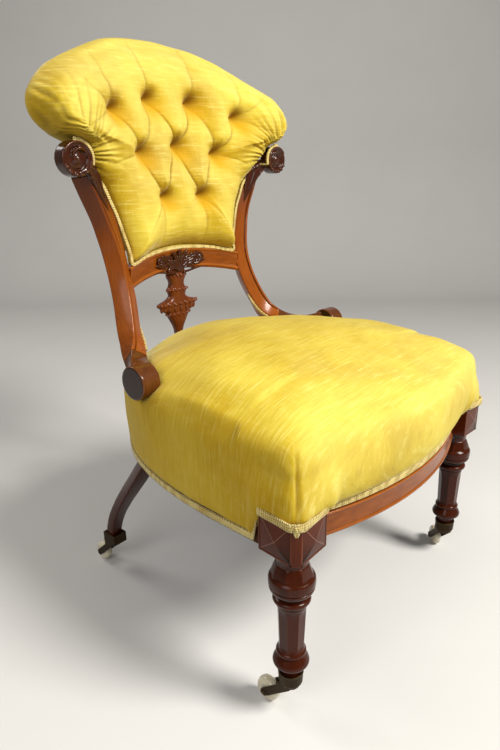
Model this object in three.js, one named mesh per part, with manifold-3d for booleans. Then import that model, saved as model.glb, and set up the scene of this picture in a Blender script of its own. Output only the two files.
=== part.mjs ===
// A button-back nursing chair: carved show-wood frame, spoon-shaped upholstered back,
// sprung and domed seat, turned front legs, swept back legs and four swivelling castors.
// Millimetres. +X is the sitter's left, -Y is the front, +Z is up.
// Inside the file, y is measured from the axes of the two front legs; one group at the
// end moves the chair so that its origin is on the floor under its middle.

import * as THREE from "three";
import { mergeVertices, mergeGeometries } from "three/addons/utils/BufferGeometryUtils.js";
import Module from "manifold-3d";

const wasm = await Module();
wasm.setup();

// Driving dimensions of the seat
const seat_half_width = 240;        // widest half width of the seat frame
const seat_depth = 445;             // front leg axes to the back of the seat frame
const seat_widest_y = 70;           // where the seat frame is widest
const rear_round_exponent = 2.35;   // how square the round back of the seat is
const rail_bottom_z = 248;
const rail_top_z = 299;
const rail_thickness = 24;
const front_bow = 47;               // how far the front rail bows ahead of the leg axes
const front_bow_end = 8;            // and how far it is ahead of them beside the leg
const seat_crown_z = 427;
const seat_edge_z = 374;
const seat_middle_inset = 260;      // from the back of the seat frame
const seat_middle_y = seat_depth - seat_middle_inset;

// Driving dimensions of the legs
const front_leg_inset = 18;         // leg axes inside the widest part of the seat
const front_leg_half_spread = seat_half_width - front_leg_inset;
const leg_block_size = 56;
const rear_leg_inset = 55;          // castor axes inside the widest part of the seat
const rear_foot_inset = 26;         // and ahead of its back
const rear_leg_top_inset = 139;
const rear_leg_half_spread = seat_half_width - rear_leg_inset;
const rear_foot_y = seat_depth - rear_foot_inset;
const rear_leg_top_y = seat_depth - rear_leg_top_inset;

// Driving dimensions of the back
const back_rise = 559;              // top of the seat rails to the top of the back
const back_half_width = 248;
const back_plane_inset = 63;        // front of the back frame, ahead of the back of the seat frame
const back_plane_y = seat_depth - back_plane_inset;
const back_lean = 0.19;             // how far back for each length up
const back_hollow_radius = 325;     // radius of the hollow of the back, seen from above
const back_pad_thickness = 58;
const back_wrap = 26;               // how far the padding wraps behind the frame front

// Fits and clearances
const seat_gap = 0.3;               // between pieces that rest on each other
const overrun = 4;                  // how far a cut runs past what it cuts
const weld_overlap = 0.5;           // how far two forms of one piece run into each other

// Distance from the leg axes back to the middle of the chair, where the origin lies
const origin_y = 232;

// Materials
function finish(colour, roughness, metalness = 0) {
  return new THREE.MeshStandardMaterial({ color: colour, roughness, metalness });
}
const walnut = finish(0x7a3a18, 0.35);
const dark_walnut = finish(0x3d1710, 0.32);
const beech = finish(0xb98f5c, 0.7);
const velvet = finish(0xcf9f26, 0.85);
const braid = finish(0xd8b24a, 0.8);
const hessian = finish(0x8d7550, 0.95);
const lining = finish(0x2a2622, 0.95);
const spring_steel = finish(0x8a7a5c, 0.5, 0.8);
const dark_brass = finish(0x4a3a20, 0.45, 0.9);
const porcelain = finish(0xe9dfc2, 0.18);

const chair = new THREE.Group();

function add(name, geometry, material, parent = chair) {
  const mesh = new THREE.Mesh(geometry, material);
  mesh.name = name;
  parent.add(mesh);
  return mesh;
}

// Geometry helpers

function bare(geometry) {
  const copy = geometry.clone();
  copy.deleteAttribute("normal");
  copy.deleteAttribute("uv");
  return mergeVertices(copy, weld_distance);
}
const weld_distance = seat_gap / 300;

function toSolid(geometry) {
  const clean = bare(geometry);
  const mesh = new wasm.Mesh({
    numProp: 3,
    vertProperties: Float32Array.from(clean.attributes.position.array),
    triVerts: Uint32Array.from(clean.index.array),
  });
  return new wasm.Manifold(mesh);
}

function toGeometry(solid) {
  const mesh = solid.getMesh();
  const geometry = new THREE.BufferGeometry();
  geometry.setAttribute("position", new THREE.BufferAttribute(Float32Array.from(mesh.vertProperties), 3));
  geometry.setIndex(new THREE.BufferAttribute(Uint32Array.from(mesh.triVerts), 1));
  return geometry;
}

function join(first, ...others) {
  let solid = toSolid(first);
  for (const other of others) {
    solid = solid.add(toSolid(other));
  }
  return toGeometry(solid);
}

function cut(first, ...others) {
  let solid = toSolid(first);
  for (const other of others) {
    solid = solid.subtract(toSolid(other));
  }
  return toGeometry(solid);
}

function signedVolume(positions, indices) {
  const a = new THREE.Vector3();
  const b = new THREE.Vector3();
  const c = new THREE.Vector3();
  let sum = 0;
  for (let i = 0; i < indices.length; i += 3) {
    a.fromArray(positions, 3 * indices[i]);
    b.fromArray(positions, 3 * indices[i + 1]);
    c.fromArray(positions, 3 * indices[i + 2]);
    sum += a.dot(b.cross(c));
  }
  return sum;
}

// The same surface with its faces pointing out
function outward(geometry) {
  const clean = bare(geometry);
  const indices = Array.from(clean.index.array);
  if (signedVolume(clean.attributes.position.array, indices) < 0) {
    indices.reverse();
    clean.setIndex(indices);
  }
  return clean;
}

// A closed surface from points and triangles, turned so that its faces point out.
function closedSurface(points, triangles) {
  const positions = points.flatMap((point) => [point.x, point.y, point.z]);
  const indices = triangles.flat();
  if (signedVolume(positions, indices) < 0) {
    indices.reverse();
  }
  const geometry = new THREE.BufferGeometry();
  geometry.setAttribute("position", new THREE.Float32BufferAttribute(positions, 3));
  geometry.setIndex(indices);
  return geometry;
}

function bandTriangles(count, startA, startB, closed = true) {
  const triangles = [];
  const steps = closed ? count : count - 1;
  for (let i = 0; i < steps; i += 1) {
    const next = (i + 1) % count;
    triangles.push([startA + i, startA + next, startB + i]);
    triangles.push([startA + next, startB + next, startB + i]);
  }
  return triangles;
}

// A loft through rings of equal count. The ends are closed by flat caps, or the last
// ring is joined to the first.
function loft(rings, { looped = false } = {}) {
  const count = rings[0].length;
  const points = rings.flat();
  const triangles = [];
  const spans = looped ? rings.length : rings.length - 1;
  for (let r = 0; r < spans; r += 1) {
    triangles.push(...bandTriangles(count, r * count, ((r + 1) % rings.length) * count));
  }
  if (!looped) {
    triangles.push(...capTriangles(rings[0], 0, true));
    triangles.push(...capTriangles(rings.at(-1), (rings.length - 1) * count, false));
  }
  return closedSurface(points, triangles);
}

function capTriangles(ring, start, flipped) {
  const middle = ring.reduce((sum, p) => sum.add(p), new THREE.Vector3()).divideScalar(ring.length);
  const normal = new THREE.Vector3();
  ring.forEach((p, i) => {
    const q = ring[(i + 1) % ring.length];
    normal.add(p.clone().sub(middle).cross(q.clone().sub(middle)));
  });
  normal.normalize();
  const across = ring[0].clone().sub(middle).projectOnPlane(normal).normalize();
  const along = normal.clone().cross(across);
  const flat = ring.map((p) => {
    const d = p.clone().sub(middle);
    return new THREE.Vector2(d.dot(across), d.dot(along));
  });
  const faces = THREE.ShapeUtils.triangulateShape(flat, []);
  return faces.map(([i, j, k]) => (flipped ? [start + i, start + k, start + j] : [start + i, start + j, start + k]));
}

function vec(x, y, z) {
  return new THREE.Vector3(x, y, z);
}

function mix(from, to, share) {
  return from + (to - from) * share;
}

function smooth(from, to, value) {
  return THREE.MathUtils.smoothstep(value, from, to);
}

function shapeOf(points) {
  return new THREE.Shape(points.map(([x, y]) => new THREE.Vector2(x, y)));
}

function extrude(shape, depth, steps = 1, curveSegments = 12) {
  return new THREE.ExtrudeGeometry(shape, { depth, steps, bevelEnabled: false, curveSegments });
}

// A turned form about the z axis, from a profile of [radius, height] pairs.
function turned(profile, segments) {
  const geometry = new THREE.LatheGeometry(profile.map(([r, z]) => new THREE.Vector2(r, z)), segments);
  return outward(geometry.rotateX(Math.PI / 2));
}

function box(x0, x1, y0, y1, z0, z1) {
  const geometry = new THREE.BoxGeometry(x1 - x0, y1 - y0, z1 - z0);
  return geometry.translate((x0 + x1) / 2, (y0 + y1) / 2, (z0 + z1) / 2);
}

function mirrored(geometry) {
  const copy = geometry.clone().scale(-1, 1, 1);
  const index = Array.from(bare(copy).index.array).reverse();
  const merged = bare(copy);
  merged.setIndex(index);
  return merged;
}

// Both hands of a piece: the shape is made for the sitter's left and mirrored.
function addPair(name, geometry, material) {
  add(`${name}_left`, bare(geometry), material);
  add(`${name}_right`, mirrored(geometry), material);
}

// The seat frame's outline in plan

function frameHalfWidthAt(y) {
  if (y <= seat_widest_y) {
    return seat_half_width;
  }
  const share = (y - seat_widest_y) / (seat_depth - seat_widest_y);
  return seat_half_width * (1 - share ** rear_round_exponent) ** (1 / rear_round_exponent);
}

// A point of the round back, from 0 at the widest place to 1 at the middle of the back.
function roundPoint(share, inset = 0) {
  const turn = share * Math.PI / 2;
  const power = 2 / rear_round_exponent;
  const x = (seat_half_width - inset) * Math.cos(turn) ** power;
  const y = seat_widest_y + (seat_depth - inset - seat_widest_y) * Math.sin(turn) ** power;
  return vec(x, y, 0);
}

function frontBowAt(x, middle = front_bow, end = front_bow_end) {
  return -middle + (middle - end) * (x / bow_half) ** 2;
}

// Stations that the rails and the edge of the upholstery share, so that their facets agree
const bow_half = front_leg_half_spread - leg_block_size / 2;
const front_x_shares = [0, 0.216, 0.431, 0.634, 0.811, 0.938];
const side_y_shares = [0.05, 0.18, 0.34, 0.5, 0.66, 0.82, 0.96];
const round_shares = [0.42, 0.5, 0.6, 0.7, 0.8, 0.9, 1];

function sideStation(share) {
  return mix(leg_block_size / 2, rear_leg_top_y, share);
}

// Front rail: bowed show-wood with a bead along both edges and a ledge for the braid
const front_rail_show_height = 31;
const rail_bead = 4;
const rail_bead_depth = 1.2;
const rail_ledge_depth = 3;

function frontRail(grow = 0) {
  const half = bow_half - seat_gap + grow * 2;
  const show_top = rail_bottom_z + front_rail_show_height;
  const section = [
    [0, rail_bottom_z],
    [0, rail_bottom_z + rail_bead],
    [rail_bead_depth, rail_bottom_z + rail_bead + rail_bead_depth],
    [rail_bead_depth, show_top - rail_bead - rail_bead_depth],
    [0, show_top - rail_bead],
    [-grow, show_top + grow],
    [rail_ledge_depth - grow, show_top + grow],
    [rail_ledge_depth - grow, rail_top_z + grow],
    [rail_thickness + grow, rail_top_z + grow],
    [rail_thickness + grow, rail_bottom_z],
  ];
  const right = [...front_x_shares.map((share) => share * bow_half), half];
  const stations = [...right.slice(1).reverse().map((x) => -x), ...right];
  return loft(stations.map((x) => section.map(([inward, z]) => vec(x, frontBowAt(x) + inward, z))));
}
add("front_rail", frontRail(), walnut);

// Side rails: sawn to the curve of the seat, from the leg block to the back leg's post
const rear_post_size = 26;
const rear_post_length = 32;

function railStrip(outer, thickness) {
  const inner = outer.map((p, i) => {
    const before = outer[Math.max(i - 1, 0)];
    const after = outer[Math.min(i + 1, outer.length - 1)];
    const along = after.clone().sub(before).normalize();
    return p.clone().add(vec(-along.y, along.x, 0).multiplyScalar(thickness));
  });
  return [...outer, ...inner.reverse()];
}

function plate(outline, z0, z1) {
  const shape = new THREE.Shape(outline.map((p) => new THREE.Vector2(p.x, p.y)));
  return extrude(shape, z1 - z0).translate(0, 0, z0);
}

const rear_post_y0 = rear_leg_top_y - rear_post_length / 2;
const rear_post_y1 = rear_leg_top_y + rear_post_length / 2;

function sideRail(grow = 0) {
  const start = leg_block_size / 2 + seat_gap;
  const end = rear_post_y0 - seat_gap;
  const stations = [start, ...side_y_shares.map(sideStation).filter((y) => y > start && y < end), end];
  const outer = stations.map((y) => vec(frameHalfWidthAt(y) + grow, y, 0));
  return plate(railStrip(outer, rail_thickness + grow * 2), rail_bottom_z - grow, rail_top_z + grow);
}
const side_rail = cut(sideRail(), rearPost(seat_gap));
addPair("side_rail", side_rail, beech);

// Back legs: a post between the rails, and a sabre leg swept back to its castor
const rear_leg_foot_z = 58;

function rearPost(gap = 0) {
  const outer = [];
  const steps = 4;
  for (let i = 0; i <= steps; i += 1) {
    const y = mix(rear_post_y0 - gap, rear_post_y1 + gap, i / steps);
    outer.push(vec(frameHalfWidthAt(y) + gap, y, 0));
  }
  return plate(railStrip(outer, rear_post_size + gap * 2), rail_bottom_z - gap, rail_top_z + gap);
}

const rear_width_shares = [0.97, 0.96, 0.93, 0.86, 0.8, 0.76, 0.74];

function rearLeg() {
  const normal = frameNormal(frameHalfWidthAt(rear_leg_top_y), rear_leg_top_y);
  const top_turn = Math.atan2(normal.y, normal.x);
  const top_x = frameHalfWidthAt(rear_leg_top_y) - normal.x * rear_post_size / 2;
  const top_y = rear_leg_top_y - normal.y * rear_post_size / 2;
  const down_shares = [0, 0.18, 0.36, 0.54, 0.72, 0.88, 1];
  const back_shares = [0, 0.22, 0.45, 0.67, 0.86, 0.97, 1];
  const top_z = rail_bottom_z + weld_overlap;
  const rings = down_shares.map((down, i) => {
    const z = mix(top_z, rear_leg_foot_z, down);
    const y = mix(top_y, rear_foot_y, back_shares[i]);
    const x = mix(top_x, rear_leg_half_spread, down);
    const half = rear_post_size * rear_width_shares[i] / 2;
    const turn = top_turn * (1 - smooth(0, 1, down));
    const u = vec(Math.cos(turn), Math.sin(turn), 0).multiplyScalar(half);
    const v = vec(-u.y, u.x, 0);
    const middle = vec(x, y, z);
    return [[-1, -1], [1, -1], [1, 1], [-1, 1]].map(([a, b]) =>
      middle.clone().addScaledVector(u, a).addScaledVector(v, b));
  });
  return join(rearPost(), loft(rings));
}
addPair("rear_leg", rearLeg(), dark_walnut);

// Rear rail: sawn to the round of the seat, between the two back leg posts
function rearRailStrip(grow = 0) {
  const post_share = roundShareAt(rear_post_y1 - overrun * (grow > 0 ? 2 : 1));
  const left = [post_share, ...round_shares.filter((share) => share > post_share)];
  const half = left.map((share) => roundPoint(share, -grow));
  const outer = [...half, ...half.slice(0, -1).reverse().map((p) => vec(-p.x, p.y, 0))];
  return plate(railStrip(outer, rail_thickness + grow * 2), rail_bottom_z - grow, rail_top_z + grow);
}

function rearRail() {
  return cut(rearRailStrip(), rearPost(seat_gap), mirrored(rearPost(seat_gap)));
}

function roundShareAt(y) {
  const share = (y - seat_widest_y) / (seat_depth - seat_widest_y);
  return Math.asin(share ** (rear_round_exponent / 2)) / (Math.PI / 2);
}
add("rear_rail", rearRail(), beech);

// Corner blocks glued into the corners of the seat frame
const corner_block_leg = 46;
const corner_block_height = 34;

function cornerBlock(corner, toSide, toEnd) {
  const outline = [corner, corner.clone().add(toSide), corner.clone().add(toEnd)];
  const z0 = (rail_bottom_z + rail_top_z - corner_block_height) / 2;
  return plate(outline, z0, z0 + corner_block_height);
}

function frontCornerBlock() {
  const x = bow_half - seat_gap;
  const y = frontBowAt(x) + rail_thickness + seat_gap * 4;
  return cornerBlock(vec(x, y, 0), vec(0, corner_block_leg * 0.8, 0), vec(-corner_block_leg, -corner_block_leg * 0.12, 0));
}
const front_block = cut(frontCornerBlock(), frontRailCutter());
addPair("corner_block_front", front_block, beech);

function frontRailCutter() {
  const half = front_leg_half_spread;
  const steps = 18;
  const rings = [];
  for (let i = 0; i <= steps; i += 1) {
    const x = mix(-half, half, i / steps);
    const back = frontBowAt(x) + rail_thickness + seat_gap;
    rings.push([
      vec(x, back - rail_thickness, rail_bottom_z - overrun),
      vec(x, back, rail_bottom_z - overrun),
      vec(x, back, rail_top_z + overrun),
      vec(x, back - rail_thickness, rail_top_z + overrun),
    ]);
  }
  return loft(rings);
}

function rearCornerBlock() {
  const x = frameHalfWidthAt(rear_leg_top_y) - rear_post_size - seat_gap;
  const y0 = rear_post_y0;
  const y1 = rear_post_y1;
  const outline = [
    vec(x, y0, 0),
    vec(x, y1, 0),
    vec(x - corner_block_leg / 2, y1, 0),
    vec(x - corner_block_leg / 3, y0, 0),
  ];
  const z0 = (rail_bottom_z + rail_top_z - corner_block_height) / 2;
  return plate(outline, z0, z0 + corner_block_height);
}
const rear_block = cut(rearCornerBlock(), rearRailStrip(seat_gap), sideRail(seat_gap), rearPost(seat_gap));
addPair("corner_block_rear", rear_block, beech);

// Front legs: a square block with a diamond boss on its two outer faces, then a turned
// leg with an eight-sided shaft between rings
const leg_foot_z = 58;
const boss_height = 3.5;
const boss_margin = 5;
const block_chamfer = 7;
const leg_ring_shares = [
  // radius as a share of half the block, height as a share of the turned length
  [0, 0],
  [0.446, 0],
  [0.446, 0.075],
  [0.518, 0.1158],
  [0.554, 0.1368],
  [0.732, 0.1579],
  [0.814, 0.1816],
  [0.814, 0.2],
  [0.732, 0.2184],
  [0.65, 0.2289],
  [0.664, 0.2447],
  [0.6, 0.2605],
  [0.571, 0.2842],
  [0.643, 0.5895],
  [0.696, 0.6211],
  [0.868, 0.6421],
  [0.889, 0.6605],
  [0.829, 0.6789],
  [0.736, 0.7],
  [0.875, 0.7316],
  [1.021, 0.7526],
  [1.05, 0.7842],
  [0.982, 0.8263],
  [0.857, 0.8684],
  [0.732, 0.9053],
  [0.714, 0.9368],
  [0.804, 1],
  [0.804, 1.01],
  [0, 1.01],
];
const shaft_from_share = 0.27;
const shaft_to_share = 0.6;
const leg_turned_length = rail_bottom_z - leg_foot_z;

function turnedLeg() {
  const segments = 16;
  const profile = leg_ring_shares.map(([out, up]) => [out * leg_block_size / 2, leg_foot_z + up * leg_turned_length]);
  const geometry = turned(profile, segments);
  const position = geometry.attributes.position;
  for (let i = 0; i < position.count; i += 1) {
    const up = (position.getZ(i) - leg_foot_z) / leg_turned_length;
    if (up > shaft_from_share && up < shaft_to_share) {
      const angle = Math.atan2(position.getY(i), position.getX(i));
      const facet = Math.PI / 4;
      const local = angle - Math.round(angle / facet) * facet;
      const flat = Math.cos(facet / 2) / Math.cos(local);
      position.setXY(i, position.getX(i) * flat, position.getY(i) * flat);
    }
  }
  return geometry;
}

function legBlock() {
  const half = leg_block_size / 2;
  const outline = [
    [-half, -half],
    [half - block_chamfer, -half],
    [half, -half + block_chamfer],
    [half, half],
    [-half, half],
  ];
  const block = extrude(shapeOf(outline), rail_top_z - rail_bottom_z).translate(0, 0, rail_bottom_z);
  const height = rail_top_z - rail_bottom_z;
  const profile = pommel_shares.map(([out, up]) => [out * half, rail_bottom_z + up * height]);
  return toGeometry(toSolid(block).intersect(toSolid(turned(profile, 20))));
}
const pommel_shares = [
  [0, -0.1],
  [0.95, -0.1],
  [0.95, 0],
  [1.2, 0.2],
  [1.36, 0.42],
  [1.45, 0.6],
  [1.45, 1.1],
  [0, 1.1],
];

// A low pyramid on a face of the block, its tip standing proud by boss_height.
function diamondBoss() {
  const half_width = leg_block_size / 2 - boss_margin;
  const half_height = (rail_top_z - rail_bottom_z) / 2 - boss_margin;
  const back = -leg_block_size / 2 + boss_height;
  const front = -leg_block_size / 2 - seat_gap;
  const middle = (rail_top_z + rail_bottom_z) / 2;
  const foot = [
    vec(-half_width, back, middle - half_height),
    vec(half_width, back, middle - half_height),
    vec(half_width, back, middle + half_height),
    vec(-half_width, back, middle + half_height),
  ];
  const face = foot.map((p) => vec(p.x, front, p.z));
  const tip = vec(0, front - boss_height, middle);
  const points = [...foot, ...face, tip];
  const triangles = [[0, 2, 1], [0, 3, 2]];
  for (let i = 0; i < 4; i += 1) {
    const next = (i + 1) % 4;
    triangles.push([i, next, 4 + i], [next, 4 + next, 4 + i], [4 + i, 4 + next, 8]);
  }
  return closedSurface(points, triangles);
}

function frontLeg() {
  const front_boss = diamondBoss();
  const side_boss = diamondBoss().rotateZ(Math.PI / 2);
  const leg = join(legBlock(), turnedLeg(), front_boss, side_boss);
  return leg.translate(front_leg_half_spread, 0, 0);
}
addPair("front_leg", frontLeg(), dark_walnut);

// The front of the back frame: a leaning plane, hollowed to a parabola in plan
const hollow_flattens_share = 0.807; // of the half width: from here out the hollow levels off
const hollow_flat_share = 0.161;     // of the half width: over which it levels off

function hollow(x) {
  const from = hollow_flattens_share * back_half_width;
  const over = hollow_flat_share * back_half_width;
  const inner = Math.min(Math.abs(x), from);
  const past = THREE.MathUtils.clamp(Math.abs(x) - from, 0, over);
  return inner * inner / (2 * back_hollow_radius) + past * from / back_hollow_radius * (1 - past / over / 2);
}

function backY(x, z) {
  return back_plane_y + back_lean * (z - rail_top_z) - hollow(x);
}

function backZ(share) {
  return rail_top_z + back_rise * share;
}

// The uprights run from the carved scroll at the shoulder, in to the waist, and sweep
// forward and out along the seat to a rolled foot
const upright_face_setback = -1.5;  // the middle of the face, behind the hollow of the back
const upright_width = 26;
const upright_depth = 29;
const foot_roll_radius = 24;
const foot_roll_length = 30;
const foot_roll_ahead = 120;        // of the front of the back frame at the rails
const foot_roll_y = back_plane_y - foot_roll_ahead;
const foot_roll_z = 394;
const foot_roll_inset = 4;          // from the widest part of the seat frame
const foot_roll_x = seat_half_width - foot_roll_inset - foot_roll_length / 2;

// Shares of the back's half width and of its rise, from the shoulder to the waist
const upright_upper_shares = [
  [0.692, 0.65],
  [0.653, 0.61],
  [0.586, 0.538],
  [0.543, 0.467],
  [0.523, 0.395],
];
// Shares of the way from the waist to the rolled foot, across, forward and down
const upright_lower_shares = [
  [0.034, 0.106, 0.377],
  [0.147, 0.254, 0.755],
  [0.248, 0.377, 0.943],
  [0.442, 0.545, 1.06],
  [0.686, 0.75, 1.085],
  [0.876, 0.911, 1.04],
  [1, 1, 1],
];

function uprightSpine() {
  const upper = upright_upper_shares.map(([across, up]) => {
    const x = back_half_width * across;
    const z = backZ(up);
    return vec(x, backY(x, z) + upright_face_setback, z);
  });
  const waist = upper.at(-1);
  const end = vec(foot_roll_x, foot_roll_y + foot_roll_radius * 0.4, foot_roll_z + foot_roll_radius * 0.75);
  const lower = upright_lower_shares.map(([across, forward, down]) =>
    vec(mix(waist.x, end.x, across), mix(waist.y, end.y, forward), mix(waist.z, end.z, down)));
  return new THREE.CatmullRomCurve3([...upper, ...lower]);
}
const upright_spine = uprightSpine();

// Across direction of the upright's face: turned to the hollow of the back above,
// square to the chair at the rolled foot
const face_turn_shares = [0.9, 0.92, 0.74, 1.13, 1.3, 1.07, 1.1, 0.87, 0.6, 0.3, 0.1, 0];
const face_turn_full = THREE.MathUtils.degToRad(30);

function uprightFrame(share) {
  const along = upright_spine.getTangent(share).normalize();
  const slot = share * (face_turn_shares.length - 1);
  const low = Math.min(Math.floor(slot), face_turn_shares.length - 2);
  const turn = face_turn_full * mix(face_turn_shares[low], face_turn_shares[low + 1], slot - low);
  const across = vec(Math.cos(turn), -Math.sin(turn), 0);
  across.addScaledVector(along, -across.dot(along)).normalize();
  const front = along.clone().cross(across).normalize();
  return { at: upright_spine.getPoint(share), across, front };
}

const upright_bead = 3;
const upright_bead_depth = 1.2;

function uprightRing(share, grow, outer = 0) {
  const { at, across, front } = uprightFrame(share);
  const half = upright_width / 2 + grow;
  if (outer > 0) {
    const wide = half + outer;
    const deep = upright_depth + grow + outer;
    const corners = [[-half, grow + outer], [wide, grow + outer], [wide, -deep], [-half, -deep]];
    return corners.map(([u, v]) => at.clone().addScaledVector(across, u).addScaledVector(front, v));
  }
  const section = [
    [-half, grow],
    [half - upright_bead * 2.2, grow],
    [half - upright_bead * 1.6, grow - upright_bead_depth],
    [half - upright_bead, grow],
    [half, grow - upright_bead_depth / 2],
    [half, -upright_depth - grow],
    [-half, -upright_depth - grow],
  ];
  return section.map(([u, v]) => at.clone().addScaledVector(across, u).addScaledVector(front, v));
}

function uprightBar(from, to, steps, grow = 0, outer = 0) {
  const rings = [];
  for (let i = 0; i <= steps; i += 1) {
    rings.push(uprightRing(mix(from, to, i / steps), grow, outer));
  }
  return loft(rings);
}

const foot_joint_share = 0.7;
const joint_gap_share = 0.0006;
const upright_clearance = 0.6;
add("upright_left", uprightBar(0, foot_joint_share, 24), walnut);
add("upright_right", mirrored(uprightBar(0, foot_joint_share, 24)), walnut);

// Rolled foot: the upright's end, curled into a roll, with a stump down to the side rail
const stump_width = 18;
const stump_length = 26;
const foot_roll_cut = 2;            // depth of the groove carved round the eye of the roll

function footRoll(grow = 0) {
  const radius = foot_roll_radius + grow;
  const half = foot_roll_length / 2 + grow;
  const profile = [
    [0, -half],
    [radius * 0.3, -half],
    [radius * 0.42, -half + foot_roll_cut - grow],
    [radius * 0.8, -half + foot_roll_cut - grow],
    [radius * 0.92, -half],
    [radius, -half + foot_roll_cut],
    [radius, half - foot_roll_cut],
    [radius * 0.92, half],
    [radius * 0.8, half - foot_roll_cut + grow],
    [radius * 0.42, half - foot_roll_cut + grow],
    [radius * 0.3, half],
    [0, half],
  ];
  return turned(profile, 18).rotateY(Math.PI / 2).translate(foot_roll_x, foot_roll_y, foot_roll_z);
}

function stump(grow = 0) {
  const y = foot_roll_y + stump_length / 2;
  const x = frameHalfWidthAt(y) - rail_thickness / 2;
  const z1 = foot_roll_z + overrun;
  const half_x = stump_width / 2 + grow;
  const half_y = stump_length / 2 + grow;
  return box(x - half_x, x + half_x, y - half_y, y + half_y, rail_top_z + seat_gap - grow, z1);
}

function lowerScroll(grow = 0) {
  const bar = uprightBar(foot_joint_share + joint_gap_share, 0.985, 8, grow);
  return join(bar, footRoll(grow), stump(grow));
}
addPair("lower_scroll", lowerScroll(), walnut);

// Carved scroll on the shoulder: a round volute with a ridge and an eye, and a neck
// that springs from the upright
const volute_across_share = 0.8468;
const volute_up_share = 0.6816;
const volute_set_back = 0.5;
const volute_x = back_half_width * volute_across_share;
const volute_z = backZ(volute_up_share);
const volute_y = backY(volute_x, volute_z) + volute_set_back;
const volute_radius = 23.5;
const volute_depth = 22;
const volute_profile_shares = [
  [0, 0.42],
  [0.2, 0.56],
  [0.36, 0.42],
  [0.42, 0.36],
  [0.62, 0.36],
  [0.7, 0.5],
  [0.92, 0.5],
  [1, 0.4],
  [1, -0.44],
  [0.94, -0.5],
  [0, -0.5],
];

function volute(grow = 0) {
  const profile = volute_profile_shares.map(([out, deep]) =>
    [out * (volute_radius + grow), -deep * (volute_depth + grow * 2)]);
  return turned(profile.reverse(), 20).rotateX(-Math.PI / 2).translate(volute_x, volute_y, volute_z);
}

const neck_shares = [
  // share of the way to the volute, width and depth as shares of the upright's
  [-0.05, 1, 0.98],
  [0.3, 0.94, 0.85],
  [0.62, 0.9, 0.7],
  [0.85, 0.8, 0.6],
];

function voluteNeck(grow = 0) {
  const { at, across, front } = uprightFrame(0);
  const start = at.clone().addScaledVector(front, -upright_depth / 2);
  const end = vec(volute_x, volute_y, volute_z);
  const rings = neck_shares.map(([share, wide, deep]) => {
    const middle = start.clone().lerp(end, share);
    middle.z = mix(start.z, end.z, Math.sqrt(Math.max(share, 0)) * Math.sign(share + 1) + Math.min(share, 0));
    const u = across.clone().multiplyScalar(upright_width * wide / 2 + grow);
    const v = front.clone().multiplyScalar(upright_depth * deep / 2 + grow);
    return [
      middle.clone().sub(u).add(v),
      middle.clone().add(u).add(v),
      middle.clone().add(u).sub(v),
      middle.clone().sub(u).sub(v),
    ];
  });
  return loft(rings);
}

function shoulderScroll(grow = 0) {
  return join(volute(grow), voluteNeck(grow));
}
const shoulder_scroll = cut(shoulderScroll(), uprightBar(0, foot_joint_share / 4, 8, seat_gap));
addPair("shoulder_scroll", shoulder_scroll, dark_walnut);

// Cross rail: arched between the uprights, with a bead along its edges
const cross_rail_half_share = 0.5444;
const cross_rail_half = back_half_width * cross_rail_half_share;
const cross_rail_up_share = 0.4258;
const cross_rail_crown_z = backZ(cross_rail_up_share);
const cross_rail_drop = 13.5;       // fall of the upper edge at the uprights
const cross_rail_height = 34;
const cross_rail_depth = 22;
const cross_rail_arch_share = 0.4597;
const cross_rail_arch_width = back_half_width * cross_rail_arch_share;
const cross_rail_bead = 4;
const cross_rail_bead_depth = 1.3;
const leaf_half_length = 50;
const leaf_rise = 5;

function crossTopAt(x) {
  return cross_rail_crown_z - cross_rail_drop * (x / cross_rail_arch_width) ** 2;
}

function crossRail(grow = 0) {
  const steps = 20;
  const rings = [];
  const height = cross_rail_height + grow * 2;
  for (let i = 0; i <= steps; i += 1) {
    const x = mix(-cross_rail_half, cross_rail_half, i / steps);
    const top = crossTopAt(x) + grow;
    const y = backY(x, top - height / 2) - grow;
    const bead = cross_rail_bead;
    const dip = grow > 0 ? 0 : cross_rail_bead_depth;
    const section = [
      [0, top],
      [0, top - bead],
      [dip, top - bead * 1.5],
      [dip, top - height + bead * 1.5],
      [0, top - height + bead],
      [0, top - height],
      [cross_rail_depth + grow * 2, top - height],
      [cross_rail_depth + grow * 2, top],
    ];
    rings.push(section.map(([back, z]) => vec(x, y + back, z)));
  }
  return loft(rings);
}

// Leaf carved on the middle of the cross rail, lying along it, its lobes on both edges
const leaf_lobes = 5;
const leaf_height_share = 0.98;

function leaf() {
  const steps = 22;
  const rings = [];
  for (let i = 0; i <= steps; i += 1) {
    const share = i / steps * 2 - 1;
    const x = leaf_half_length * share;
    const envelope = Math.sqrt(Math.max(1 - share * share, 0)) * 0.9 + 0.1;
    const lobe = 0.86 + 0.14 * Math.cos(share * leaf_lobes * Math.PI * 2);
    const half = cross_rail_height / 2 * leaf_height_share * envelope * lobe;
    const middle = crossTopAt(x) - cross_rail_height / 2;
    const rise = leaf_rise * envelope * (0.75 + 0.25 * lobe);
    const y = backY(x, middle);
    rings.push([
      vec(x, y + cross_rail_bead_depth * 2, middle - half),
      vec(x, y - rise * 0.55, middle - half * 0.8),
      vec(x, y - rise, middle),
      vec(x, y - rise * 0.55, middle + half * 0.8),
      vec(x, y + cross_rail_bead_depth * 2, middle + half),
    ]);
  }
  return loft(rings);
}

function bothHands(geometry) {
  return [geometry, mirrored(geometry)];
}
const upright_cutters = bothHands(uprightBar(0, foot_joint_share, 24, seat_gap));
const upright_outsides = bothHands(uprightBar(0.1, 0.6, 16, seat_gap, upright_width / 2));
const cross_rail = cut(join(crossRail(), leaf()), ...upright_outsides);
add("cross_rail", cross_rail, walnut);

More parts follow.
